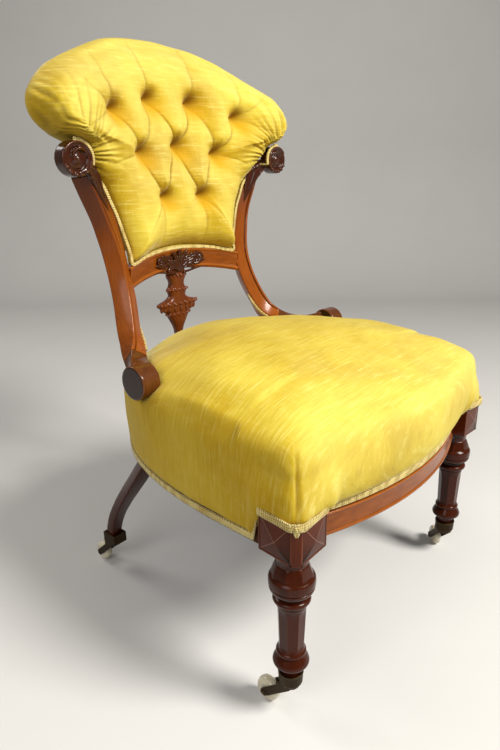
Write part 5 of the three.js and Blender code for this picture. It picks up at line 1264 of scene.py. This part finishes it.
# %% Front rail
def front_bow(x):
    return -47 + 39 * (x / 194) ** 2


section = [(0.8, 248.0), (0.1, 248.7), (-0.3, 250), (0.1, 251.4), (0.9, 252.1), (1.5, 252.9), (1.6, 254),
           (1.6, 273.2), (1.5, 274.2), (0.9, 275), (0.1, 275.7), (-0.3, 277), (0.1, 278.3), (0.8, 279),
           (3, 279), (3, 298.6), (24, 298.6), (24, 248.0)]
rings = [[place(x, front_bow(x) + inward, z) for inward, z in section]
         for x in np.linspace(-193.6, 193.6, 61)]
piece = finish_mesh("moulded_front_rail", extrude_rings(bmesh.new(), rings), 60)
finish_piece(piece, rail_wood, "walnut", "front_rail")
hidden = ["side_rail_left", "side_rail_right", "rear_rail", "crest_rail"]
hidden += ["corner_block_" + corner for corner in ("front_left", "front_right", "rear_left", "rear_right")]
for name in hidden:
    for slot in nodes[name].material_slots:
        slot.material = stain_and_shade_wood if name.startswith("side_rail") else beech_wood
print("frame dressed")

# %% [markdown]
# ## The buttoned back
# The upholsterer marks a diamond grid on canvas, packs each diamond with hair, and draws the
# buttons down with twine through the stuffing. The velvet is folded from button to button, so a
# pleat runs along each side of a diamond, and the last pleats run off the edge. The pad is a
# surface of rings, from the tacked edge in to the middle button. Height is then taken away at
# each button and pleat. This is the most skilled work on the chair.

# %% Outline of the back
outline_shares = [
    (0.473, 0.436, 0), (0.503, 0.485, 0), (0.538, 0.538, 0), (0.575, 0.574, 0), (0.612, 0.61, 0),
    (0.652, 0.628, 0), (0.705, 0.65, 0.05), (0.746, 0.675, 0.15), (0.792, 0.7, 0.35), (0.82, 0.722, 0.7),
    (0.895, 0.74, 1), (0.952, 0.758, 1), (0.988, 0.78, 1), (1, 0.803, 1), (0.99, 0.825, 1),
    (0.965, 0.843, 1), (0.912, 0.868, 1), (0.826, 0.896, 1), (0.75, 0.914, 1), (0.665, 0.932, 1),
    (0.565, 0.95, 1), (0.455, 0.968, 1), (0.325, 0.985, 1), (0.17, 0.996, 1)]
half_outline = [(arch_half * i / 3, cross_top(arch_half * i / 3) + 0.6, 0.0) for i in range(4)]
half_outline += [(a * back_half, back_z(u), w) for a, u, w in outline_shares]
closed_outline = half_outline + [(0.0, back_z(1), 1.0)] + [(-x, z, w) for x, z, w in half_outline[:0:-1]]
outline = spline(closed_outline, 6, closed=True)
outline[:, 2] = np.clip(outline[:, 2], 0, 1)
centre_z = back_z(0.72)
print("points round the back:", len(outline))

# %% [markdown]
# Buttons and pleats are laid out in the same shares as the solids. A pleat is not straight, so
# each is bent at its middle. The first list joins one button to another. The second holds the
# pleats that run off a button to the edge: a step across, a step up, and a strength.

# %% Buttons and pleats
button_shares = [(-0.516, 0.803), (-0.177, 0.837), (0.177, 0.837), (0.516, 0.803),
                 (-0.323, 0.699), (0, 0.719), (0.323, 0.699), (-0.161, 0.581), (0.161, 0.581)]
buttons = [(a * back_half, back_z(u)) for a, u in button_shares]
diamond_bend, edge_bend, edge_fade = 5.5, 3.0, 0.25
pleats = []
for i, j in ((0, 4), (4, 1), (1, 5), (5, 2), (2, 6), (6, 3), (4, 7), (7, 5), (5, 8), (8, 6)):
    (x0, z0), (x1, z1) = buttons[i], buttons[j]
    n = Vector((z1 - z0, x0 - x1)).normalized() * (diamond_bend if (i + j) % 2 else -diamond_bend)
    pleats.append([(x0, z0), ((x0 + x1) / 2 + n.x, (z0 + z1) / 2 + n.y), (x1, z1), 1.0, 1.0])
to_edge = ((0, -0.25, 0.07, 0.75), (0, -0.05, 0.16, 0.9), (1, -0.03, 0.17, 1.0), (2, 0.03, 0.17, 1.0),
           (3, 0.05, 0.16, 0.9), (3, 0.25, 0.07, 0.75), (4, -0.26, -0.03, 0.8), (6, 0.26, -0.03, 0.8),
           (7, -0.2, -0.1, 0.7), (8, 0.2, -0.1, 0.7), (7, -0.03, -0.16, 0.95), (8, 0.03, -0.16, 0.95),
           (0, -0.32, -0.06, 0.7), (3, 0.32, -0.06, 0.7))
for i, dx, dz, strength in to_edge:
    x0, z0 = buttons[i]
    x1, z1 = x0 + dx * back_half, z0 + dz * back_rise
    middle = ((x0 + x1) / 2 + edge_bend * math.copysign(1, dx), (z0 + z1) / 2)
    pleats.append([(x0, z0), middle, (x1, z1), strength, edge_fade])
print("buttons:", len(buttons), "pleats:", len(pleats))


def pleat_distance(x, z, pleat):
    """Distance to a bent pleat and how far along it the nearest point is."""
    best = np.full(x.shape, 1e9)
    along = np.zeros(x.shape)
    points = spline(pleat[:3], 5)
    n = len(points) - 1
    for k in range(n):
        (ax, az), (bx, bz) = points[k], points[k + 1]
        dx, dz = bx - ax, bz - az
        t = np.clip(((x - ax) * dx + (z - az) * dz) / (dx * dx + dz * dz), 0, 1)
        d = np.hypot(x - ax - t * dx, z - az - t * dz)
        closer = d < best
        along = np.where(closer, (k + t) / n, along)
        best = np.where(closer, d, best)
    return best, along


pit_depth = 31.0


def hill(x, z, width, power=2):
    """1 at a place, and falling away round it."""
    return np.exp(-(np.hypot(x, z) / width) ** power)


def tufting(x, z):
    """How far the velvet is drawn in at a place, how much painted shade it gets in a fold, and how much
    painted warm shade.
    """
    pit, deep, brow, warm, crease = [np.zeros(x.shape) for _ in range(5)]
    for bx, bz in buttons:
        above = np.clip((z - bz) / 8, 0, 1)
        stretched = np.where(z > bz, 1.22, 0.86)
        pit = np.maximum(pit, pit_depth * hill(x - bx, (z - bz) * stretched, 15.5, 1.3))
        brow = np.maximum(brow, 5.0 * hill(x - bx, z - bz - 21, 14))
        deep = np.maximum(deep, hill((x - bx - 3) * 1.15, z - bz - 5, 12))
        warm = np.maximum(warm, hill((x - bx - 8) * 0.9, z - bz + 13, 17) * (1 - 0.5 * above))
    for pleat in pleats:
        d, along = pleat_distance(x, z, pleat)
        fade = mix(pleat[3], pleat[3] * pleat[4], along)
        trough = 8.5 * np.exp(-(d / 17) ** 1.5) + 2.0 * np.exp(-(d / 2.0) ** 1.6)
        crease = np.maximum(crease, fade * trough)
        deep = np.maximum(deep, 0.62 * fade * np.exp(-(d / 1.7) ** 2))
    return pit + crease * (1 - pit / pit_depth * 0.8) - brow, deep, warm


# %% [markdown]
# The edge is drawn twice, as shares of the padding: against the frame, where the velvet is tacked
# to the wood, and wrapped, where it rolls over the wings and the top. Each pair is a way in from
# the outline and a way back. The rear of the pad is closed by rings in the same bowl as the back,
# because a flat lid there would cut through the deepest pits.

# %% Rings of the back pad
frame_edge = [(0.3, -0.02), (0.14, 0.1), (0.03, 0.1), (0.02, 0.04), (0.03, -0.002), (0.07, -0.008),
              (0.125, -0.016), (0.15, -0.1), (0.26, -0.27), (0.43, -0.45), (0.68, -0.62)]
wrapped_edge = [(0.3, 0.5), (0.245, 0.49), (0.13, 0.53), (0.05, 0.44), (0.012, 0.33), (0, 0.2),
                (0.03, 0.03), (0.11, -0.19), (0.24, -0.41), (0.4, -0.6), (0.6, -0.74)]
edge_fall, hollow_back = 2.2, 4.0


def edge_ring(flat, wrapped):
    ring = []
    for x0, z0, w in outline:
        away = math.hypot(x0, z0 - centre_z)
        inset = mix(flat[0], wrapped[0], w) * padding
        wing = smooth(0.5, 0.9, abs(x0) / back_half)
        shift = mix(-0.17, 0.17, wing) * (1 - smooth(0.12, 0.19, wrapped[0]))
        depth_here = mix(flat[1], wrapped[1] + shift, w) * padding
        k = 1 - inset / away
        x, z = x0 * k, mix(centre_z, z0, k)
        ring.append((x, float(back_y(x, z)) + depth_here, z))
    return ring


def toward_middle(point, share):
    x, _, z = point
    return x * share, mix(centre_z, z, share)


def behind_surface(point):
    """How far a point lies behind the surface of the back."""
    x, y, z = point
    return y - float(back_y(x, z))


def face_ring(rim, share):
    """A ring of the face, from its rim in; near the rim it still follows the rim's height."""
    ring = []
    for point, (_, _, w) in zip(rim, outline):
        x, z = toward_middle(point, share)
        crown = -mix(1, 0.86, share ** 2) * padding
        low = mix(0.5, 0.84, w)
        fall = max(share - low, 0) ** edge_fall / (1 - low) ** edge_fall
        near_rim = mix(fall, smooth(low, 1.0, share), w)
        ring.append((x, float(back_y(x, z)) + mix(crown, behind_surface(point), near_rim), z))
    return ring


def rear_ring(rim, share):
    ring = []
    for point in rim:
        x, z = toward_middle(point, share)
        ring.append((x, float(back_y(x, z)) + mix(hollow_back, behind_surface(point), share ** 2), z))
    return ring


rings = [edge_ring(f, w) for f, w in zip(frame_edge, wrapped_edge)]
rear = [rear_ring(rings[0], share) for share in np.linspace(0.02, 0.92, 12)]
face = [face_ring(rings[-1], share) for share in np.linspace(0.965, 0.004, 46)]
bm = extrude_rings(bmesh.new(), [[place(*p) for p in ring] for ring in rear + rings + face])
bmesh.ops.subdivide_edges(bm, edges=bm.edges[:], cuts=1, use_grid_fill=True, smooth=0.4)
piece = finish_mesh("buttoned_back", bm, 180)
print("rings:", len(rear + rings + face))


# %% [markdown]
# The height is taken away after the rings are made. Small gathers are added where the cloth is
# pulled round the wings, and a slow unevenness where the hair has shifted. How deep a point lies
# in a fold, and how near it lies below a button, is kept on the mesh as painted shade for the velvet's
# colour.

# %% Drawing in the velvet
def gathers(x, z):
    """Fine folds that fan out from the scroll on each shoulder."""
    out = np.zeros(x.shape)
    for side in (1, -1):
        dx, dz = x * side - 206, z - 686
        r = np.hypot(dx, dz)
        a = np.arctan2(dz, -dx)
        fan = np.sin(a * 33 + 2.4 * np.sin(a * 7)) * 0.6 + np.sin(a * 52 + 1.3) * 0.4
        out += fan * np.exp(-((r - 36) / (30 + 45 * np.clip(a - 1.0, 0, 1))) ** 2)
    return out


def mesh_arrays(mesh):
    """The points and normals of a mesh, and the points again as the drawing's X, Y and Z."""
    found = []
    for kind in ("co", "normal"):
        values = np.empty(len(mesh.vertices) * 3)
        mesh.vertices.foreach_get(kind, values)
        found.append(values.reshape(-1, 3))
    co, normals = found
    return co, normals, co[:, 0] / mm, co[:, 1] / mm + origin_y, co[:, 2] / mm


def lumps(x, y, z, size, shift=(0, 0, 0)):
    """Noise at each point, with the breadth of a lump given along each axis."""
    at = np.stack([x / size[0] + shift[0], y / size[1] + shift[1], z / size[2] + shift[2]], 1)
    return np.array([noise.noise(Vector(p)) for p in at])


def paint(obj, name, values):
    """Keeps one number for each point on a mesh, for its material to read."""
    obj.data.attributes.new(name, "FLOAT", "POINT").data.foreach_set("value", values)


co, normals, X, Y, Z = mesh_arrays(piece.data)
ahead = back_y(X, Z) - Y
on_face = smooth(2, 29, ahead)
drawn, deep, warm = tufting(X, Z)
uneven = lumps(X, Y, Z, (46, 46, 46)) * 2.2 + lumps(X, Y, Z, (15, 40, 19), (9, 0, 0)) * 0.8
fan = gathers(X, Z) * np.clip((ahead + 26) / 20, 0, 1)
co[:, 1] += drawn * on_face * mm
co += normals * ((uneven * on_face + fan * 1.9) * mm)[:, None]
over_scroll = np.clip((Z - 690) / 40, 0, 1)
past = np.clip(np.abs(X) - 208, 0, 60) * np.where(X > 0, 0.4, 0.08) * np.sign(X)
co[:, 0] -= (past + 5.5 * smooth(0.4, 0.95, np.abs(X) / back_half)) * over_scroll * mm
co[:, 2] += 3.5 * np.clip((Z - 760) / 80, 0, 1) * np.exp(-(X / 150) ** 4) * mm
piece.data.vertices.foreach_set("co", co.ravel())
# Painted shade in the pits, pleats and hollows of the gathers.
paint(piece, "fold", np.clip(deep * on_face + np.clip(-fan, 0, 1) * 0.7, 0, 1))
# Painted warm shade below each button.
paint(piece, "warm", np.clip(warm * on_face, 0, 1))
piece.data.update()
finish_piece(piece, back_velvet, "velvet", "back_pad")

# %% [markdown]
# Each button is a domed shell covered in the same velvet, drawn down until only its crown shows.
# It sits on the foremost of the velvet round it, and takes the painted warm shade of the pits.

# %% Buttons
front_part = on_face > 0.9
face_x, face_z = X[front_part], Z[front_part]
face_y = (co[:, 1] / mm + origin_y)[front_part]
button_profile = [(0, -1), (5.6, -1), (7.2, 0.4), (7.6, 1.6), (7.0, 3.2), (5.3, 4.5), (2.9, 5.3), (0, 5.6)]
button_reach, button_set, button_painted_shade = 9, 5.2, 1.4
for k, (bx, bz) in enumerate(buttons):
    bm = spin_profile(bmesh.new(), button_profile, 32)
    tip_back = Matrix.Rotation(math.pi / 2 - math.atan(lean), 4, "X")
    tilt = Matrix.Rotation(-math.atan(bx / hollow_radius) * 0.7, 4, "Z") @ tip_back
    y = face_y[np.hypot(face_x - bx, face_z - bz) < button_reach].max() + button_set
    bmesh.ops.transform(bm, matrix=Matrix.Translation(place(bx, y, bz)) @ tilt, verts=bm.verts)
    button = finish_mesh("covered_button_%d" % (k + 1), bm, 60)
    # Painted warm shade, as in the pits.
    paint(button, "warm", [button_painted_shade] * len(button.data.vertices))
    finish_piece(button, plain_velvet, "velvet", "button_%d" % (k + 1))

# %% [markdown]
# ## The seat
# The seat is sprung: hair over hessian over five springs, pulled down hard at the edge, so it
# stands up in a dome with full sides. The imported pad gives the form. A voxel skin and some
# smoothing take its facets away, as padding does, and the cloth is pleated at the two front
# corners. The crown is raised where it is clear of the wood, and the cloth is pulled down over
# the leg blocks.

# %% Seat pad
pleat_x, pleat_y, pleat_angle, pleat_depth = 214, 6, 0.78, 3.4
piece = fuse(finish_mesh("sprung_seat", merged_copy("seat_pad"), 180), 3.6, 30, 0.5)
co, normals, X, Y, Z = mesh_arrays(piece.data)
across = np.abs(X)
uneven = lumps(X, Y, Z, (70, 70, 60)) * 2.0 + lumps(X, Y, Z, (24, 24, 50), (0, 0, 4)) * 0.5
angle = np.arctan2(pleat_y - Y, across - pleat_x)
corner_distance = np.hypot(across - pleat_x, Y - pleat_y)
pleat_fold = np.exp(-((angle - pleat_angle) / 0.05) ** 2) * (corner_distance < 60)
pleat_fold *= np.clip((corner_distance - 14) / 12, 0, 1) * np.clip((402 - Z) / 60, 0, 1) * smooth(302, 328, Z)
co += normals * (uneven * np.clip((Z - 300) / 20, 0, 1) - pleat_fold * pleat_depth)[:, None] * mm

# %% Crown of the seat
rear_share = (across / seat_half) ** seat_power + np.clip((Y - straight_to) / seat_depth, 0, 2) ** seat_power
front_share = (across / 250) ** 4 + (np.clip(straight_to - Y, 0, 200) / 125) ** 4
radial = np.where(Y > straight_to, rear_share, front_share)
wood_line = np.array([upright_point(t)[:] for t in np.linspace(0.3, 1, 30)] + [roll[:]])
to_wood = np.stack([across, Y, Z], 1)[:, None, :] - wood_line[None]
from_wood = np.min(np.linalg.norm(to_wood, axis=2), axis=1)
clear = smooth(20, 135, from_wood) * smooth(300, 410, Z) * (1 - smooth(0.9, 1.05, radial))
clear *= mix(0.45, 1, smooth(-10, 150, Y))
co[:, 2] += (9 + 8 * smooth(0.1, 0.6, radial)) * clear * mm
print("crown raised by up to mm", round(float(((9 + 8 * smooth(0.1, 0.6, radial)) * clear).max()), 1))

# %% Cloth over the leg blocks
at_block = 1 - smooth(40, 58, np.hypot(across - front_half, Y))
flat_normal = normals * np.array([1, 1, 0])
co += flat_normal * (at_block * np.clip((350 - Z) / 36, 0, 1) * 8.6 * mm)[:, None]
out_x, out_y = np.abs(co[:, 0]) / mm, co[:, 1] / mm + origin_y
beyond = np.maximum(np.abs(out_x - front_half), np.abs(out_y)) - rail_block
corner_near = hill(out_x - 246, out_y + 24, 17)
co += flat_normal * (corner_near * np.clip((340 - Z) / 30, 0, 1) * 4.0 * mm)[:, None]
pulled_down = at_block * np.clip((beyond + 4) / 4, 0, 1) * 8 + corner_near * 13
co[:, 2] -= pulled_down * np.clip((330 - Z) / 20, 0, 1) * mm
piece.data.vertices.foreach_set("co", co.ravel())
# Painted shade in the corner pleats.
paint(piece, "fold", np.clip(pleat_fold * 0.7, 0, 1))
piece.data.update()
finish_piece(piece, seat_velvet, "velvet", "seat_pad")

# %% [markdown]
# ## Gimp
# Gimp is a narrow woven braid that hides the tacks. Two cords run side to side over a flat tape
# and cross each other, so both edges come out scalloped. It is glued along the foot of the seat's
# velvet, over the tops of the leg blocks, and along the lower edges of the back.

# %% Gimp maker
def resample(points, step, closed=False):
    pts = np.array(points, float)
    if closed:
        pts = np.vstack([pts, pts[:1]])
    lengths = np.concatenate([[0], np.cumsum(np.linalg.norm(np.diff(pts[:, :3], axis=0), axis=1))])
    count = max(int(round(lengths[-1] / step)), 4)
    marks = np.linspace(0, lengths[-1], count + 1)
    return np.stack([np.interp(marks, lengths, pts[:, k]) for k in range(pts.shape[1])], 1), lengths[-1]


cord_pitch, cord_steps, cord_lift = 5.4, 7, 1.2


def gimp(name, rows, half_width, replaced, closed):
    """rows holds x, y, z, then the way across the braid, then the way out of the cloth."""
    bm = bmesh.new()
    tape, length = resample(rows, 5.0, closed)
    section = [(-0.74, -0.4), (-0.74, 0.5), (-0.3, 0.9), (0.3, 0.9), (0.74, 0.5), (0.74, -0.4)]
    rings = []
    for row in tape:
        p, a, n = Vector(row[:3]), Vector(row[3:6]).normalized(), Vector(row[6:9]).normalized()
        rings.append([place(*(p + a * u * half_width + n * v)) for u, v in section])
    append_part(bm, extrude_rings(bmesh.new(), rings))
    waves = round(length / cord_pitch)
    cord, _ = resample(rows, length / (waves * cord_steps), closed)
    for phase in (0, math.pi):
        rings = []
        for i, row in enumerate(cord):
            p, a, n = Vector(row[:3]), Vector(row[3:6]).normalized(), Vector(row[6:9]).normalized()
            turn_by = math.tau * i / cord_steps + phase
            along = n.cross(a).normalized()
            lift = n * (cord_lift + 0.5 * math.cos(turn_by))
            middle = p + a * half_width * 1.12 * math.sin(turn_by) + lift
            rings.append([place(*(middle + along * 1.6 * math.cos(b) + n * 1.25 * math.sin(b)))
                          for b in np.linspace(0, math.tau, 5, endpoint=False)])
        append_part(bm, extrude_rings(bmesh.new(), rings))
    obj = finish_mesh(name, bm, 180)
    print("gimp", name, "length mm", round(float(length)))
    return finish_piece(obj, gimp_cloth, "braid", replaced)


# %% [markdown]
# The line round the seat is the same that the upholstery follows: across the bowed front, up and
# over each leg block, down again to the side rails and round the back.

# %% Edge of the seat
bow_half, braid_high, velvet_step = 194.0, 9.0, 31.0
low_edge = rail_bottom + braid_high + 0.6


def seat_edge_half():
    """Half the line, as x, y, the way out of the cloth, and the height of its foot."""
    rows = []
    for share in (0, 0.216, 0.431, 0.634, 0.811, 0.938):
        x = share * bow_half
        rows.append((x, front_bow(x) + 3, 0, -1, low_edge + velvet_step))
    high = rail_top + braid_high + 0.6
    rows += [(bow_half - 3, front_bow(bow_half) + 3, 0, -1, high), (bow_half + 7, -19.04, 0, -1, high),
             (front_half + 12.6, -17.92, 0.7, -0.7, high), (front_half + 19.6, 2.8, 1, 0, high),
             (seat_half, 29.5, 1, 0, high)]
    for share in (0.05, 0.18, 0.34, 0.5, 0.66, 0.82, 0.96):
        y = mix(28, 306, share)
        x = seat_half_width(y)
        n = seat_outline_normal(x, y) if y > straight_to else Vector((1, 0, 0))
        rows.append((x, y, n.x, n.y, low_edge))
    for share in np.linspace(0.42, 1, 15):
        turn_by = share * math.pi / 2
        x = seat_half * max(math.cos(turn_by), 0) ** (2 / seat_power)
        y = straight_to + seat_depth * math.sin(turn_by) ** (2 / seat_power)
        if y > 310:
            n = seat_outline_normal(x, y)
            rows.append((x, y, n.x, n.y, low_edge))
    return rows


def along_edge(edge):
    return [(x + nx * 2.0, y + ny * 2.0, foot_z - 0.4, 0, 0, 1, nx, ny, 0) for x, y, nx, ny, foot_z in edge]


half_edge = seat_edge_half()
seat_edge = half_edge + [(-x, y, -nx, ny, f) for x, y, nx, ny, f in half_edge[-2:0:-1]]
before_block, after_block = 6, 11
over_block = [(188, -11.5, 0, -1, 296), (192, -22, -0.6, -0.8, 302), (197, -29.8, -0.2, -1, 303),
              (222, -30.4, 0, -1, 301.5), (241, -30.2, 0.1, -1, 299.5), (248.2, -26.2, 0.7, -0.7, 300),
              (252.2, -19, 1, -0.1, 299.5), (252.4, 0, 1, 0, 301.5), (252, 25, 1, 0.1, 303),
              (246, 30.5, 0.9, 0.4, 300)]
half_rows = along_edge(half_edge[:before_block])
half_rows += [(x, y, z, 0, 0, 1, nx, ny, 0) for x, y, nx, ny, z in over_block]
half_rows += along_edge(half_edge[after_block:])
rows = half_rows + [(-x, y, z, 0, 0, 1, -nx, ny, 0) for x, y, z, _, _, _, nx, ny, _ in half_rows[-2:0:-1]]
gimp("seat_gimp", rows, 4.6, "seat_braid", True)

# %% Folded ends on the block corners
for side, hand in hands:
    bm = bmesh.new()
    share = np.linspace(0, 1, 12)
    spine = [Vector((side * (249.6 - 1.6 * t), -27.1 + 1.6 * t, 301 - 13 * t)) for t in share]
    blade(bm, spine, [4.0 * bulge(0.3, 0.86, t) for t in share], [1.5] * 12,
          [(side * 0.707, 0.707, 0)] * 12, [(side * 0.707, -0.707, 0)] * 12)
    if side < 0:
        bmesh.ops.recalc_face_normals(bm, faces=bm.faces)
    finish_piece(finish_mesh("gimp_fold_" + hand, bm, 60), gimp_cloth, "braid", "seat_braid")

# %% Gimp of the back
rows = []
n_outline = len(outline)
order = [(k + n_outline // 2) % n_outline for k in range(n_outline)]
for i in [i for i in order if outline[i][2] < 0.12]:
    x0, z0, _ = outline[i]
    inward_way = Vector((-x0, 0, centre_z - z0))
    before, after = outline[(i - 1) % n_outline], outline[(i + 1) % n_outline]
    tangent = Vector((after[0] - before[0], 0, after[1] - before[1])).normalized()
    across = Vector((tangent.z, 0, -tangent.x))
    if across.dot(inward_way) < 0:
        across = -across
    at = Vector((x0, 0, z0)) + across * 1.9
    rows.append((at.x, float(back_y(at.x, at.z)) - 2.2, at.z, across.x, 0, across.z, *toward_front))
round_scroll = [(*round_eye(a, 25.2, 7.5), math.cos(a), 0, math.sin(a), *toward_front)
                for a in np.radians(np.linspace(196, 84, 9))]
mirrored = [(-x, y, z, -ax, *rest) for x, y, z, ax, *rest in round_scroll]
ends_right = rows[-1][0] > 0
rows = (mirrored if ends_right else round_scroll)[::-1] + rows + (round_scroll if ends_right else mirrored)
gimp("back_gimp", rows, 2.5, "back_braid", False)

# %% [markdown]
# A short length of the same trimming is tacked inside each upright, where it meets the seat.

# %% Trimming inside the uprights
for side, hand in hands:
    bm = bmesh.new()
    spine, ways, outs, wide = [], [], [], []
    for t in np.linspace(0.515, 0.655, 20):
        at, side_way, front = upright_frame(t)
        spine.append(at - side_way * (width / 2 + 1.4) - front * 4)
        ways.append(front)
        outs.append(-side_way)
        wide.append(4.2 * smooth(0.505, 0.56, t))
    blade(bm, spine, wide, [1.6] * 20, ways, outs)
    for p, a, n, w in list(zip(spine, ways, outs, wide))[3:]:
        rope(bm, [p + a * w * u + n * 1.5 for u in (-0.95, -0.4, 0.4, 0.95)], [1.05] * 4, 6)
    mirror(bm, side)
    bmesh.ops.recalc_face_normals(bm, faces=bm.faces)
    finish_piece(finish_mesh("trimming_" + hand, bm, 60), gimp_cloth, "braid", "seat_braid")

# %% [markdown]
# ## Behind and below
# The outside of the back is a second piece of velvet over thin wadding. Under the seat, black
# cotton keeps the dust from the webbing; it sags a little between its tacks.

# %% Outside back
piece = fuse(finish_mesh("velvet_outside_back", merged_copy("outside_back"), 180), 2.6, 10, 0.5)
finish_piece(piece, plain_velvet, "velvet", "outside_back")

# %% Dust cover
cloth_thick, tack_gap, turned_in, sag = 0.6, 0.6 + 1.6 + 1.2, 7, 2.4
bottom = rail_bottom - tack_gap
rings = []
for share in (1.0, 0.97, 0.9, 0.8, 0.65, 0.5, 0.35, 0.2, 0.06):
    ring = []
    for x, y, nx, ny, _ in seat_edge:
        ex, ey = x - nx * turned_in, y - ny * turned_in
        if abs(x) > 185 and y < 40:
            ex, ey = math.copysign(min(abs(ex), 191), ex), max(ey, -34)
        ring.append(place(ex * share, mix(185, ey, share), bottom + cloth_thick - sag * (1 - share ** 2)))
    rings.append(ring)
bm = extrude_rings(bmesh.new(), rings, cap=False)
middle_hole = [e for e in bm.edges if e.is_boundary and all(abs(v.co.x) < 0.02 for v in e.verts)]
around = next(f for e in middle_hole for f in e.link_faces)
for f in bmesh.ops.holes_fill(bm, edges=middle_hole, sides=0)["faces"]:
    if f.normal.dot(around.normal) < 0:
        f.normal_flip()
piece = finish_mesh("black_lining", bm, 180)
thick = piece.modifiers.new("cloth", "SOLIDIFY")
thick.thickness = cloth_thick * mm
bake_modifiers(piece)
finish_piece(piece, lining_cloth, "lining", "dust_cover")

# %% [markdown]
# Between the two lie the webbing, woven over and under and tacked to the rails, the springs that
# stand on it, and the hessian that keeps the stuffing off them.

# %% Webbing
def rear_edge(x):
    return straight_to + seat_depth * (1 - (abs(x) / seat_half) ** seat_power) ** (1 / seat_power)


across_pitch, along_pitch, first_strap, tacked_in = 100.0, 88.0, 52, 8
strap = [(-24.5, -0.5), (-24.5, 0.5), (24.5, 0.5), (24.5, -0.5)]
web_z = rail_bottom - 0.3 - 0.8


def strap_height(wave, v):
    return web_z + 0.45 * 0.4 * math.cos(math.pi * wave) + v * 0.7


bm = bmesh.new()
for i in range(3):
    x = (i - 1) * across_pitch
    rings = []
    for y in np.linspace(front_bow(abs(x) + 25) + tacked_in, rear_edge(abs(x) + 25) - tacked_in, 40):
        wave = (y - first_strap) / along_pitch + i
        rings.append([place(x + u, y, strap_height(wave, v)) for u, v in strap])
    append_part(bm, extrude_rings(bmesh.new(), rings))
for j in range(4):
    y = first_strap + j * along_pitch
    reach = seat_half_width(y + 25) - tacked_in
    rings = []
    for x in np.linspace(-reach, reach, 40):
        wave = x / across_pitch + j
        rings.append([place(x, y + u, strap_height(wave, v)) for u, v in strap])
    append_part(bm, extrude_rings(bmesh.new(), rings))
finish_piece(finish_mesh("jute_webbing", bm, 60), hessian_cloth, "hessian", "seat_webbing")

# %% Springs and hessian
wire_r, curls, coil_height, coil_foot = 1.7, 5, 76.0, rail_bottom
waist_r, end_r, curl_steps = 22, 31, 26
steps = curls * curl_steps
for k, (x, y) in enumerate([(0, 185), (-100, 96), (100, 96), (-100, 245.6), (100, 245.6)]):
    helix = []
    for share in (i / steps for i in range(steps + 1)):
        radius = mix(waist_r, end_r, (2 * share - 1) ** 2)
        a = share * curls * math.tau
        z = coil_foot + wire_r + (coil_height - 2 * wire_r) * share
        helix.append(Vector((x + radius * math.cos(a), y + radius * math.sin(a), z)))
    rings = []
    for i, p in enumerate(helix):
        along = (helix[min(i + 1, steps)] - helix[max(i - 1, 0)]).normalized()
        out = Vector((p.x - x, p.y - y, 0))
        out = (out - along * out.dot(along)).normalized()
        up_way = along.cross(out)
        rings.append([place(*(p + (out * math.cos(b) + up_way * math.sin(b)) * wire_r))
                      for b in np.linspace(0, math.tau, 8, endpoint=False)])
    piece = finish_mesh("coil_%d" % (k + 1), extrude_rings(bmesh.new(), rings), 60)
    finish_piece(piece, wire, "spring_steel", "spring_%d" % (k + 1))

bm = merged_copy("seat_hessian")
bmesh.ops.subdivide_edges(bm, edges=bm.edges[:], cuts=1, smooth=0.2)
finish_piece(finish_mesh("jute_cover", bm, 60), hessian_cloth, "hessian", "seat_hessian")

# %% [markdown]
# ## Finish
# Last, the sizes of the solids and of the dressed chair are printed.

# %% Sizes
size = {"cad": [[float(c) for c in corner] for corner in cad_box],
        "visual": [[float(c) for c in corner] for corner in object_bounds()]}
print(size)
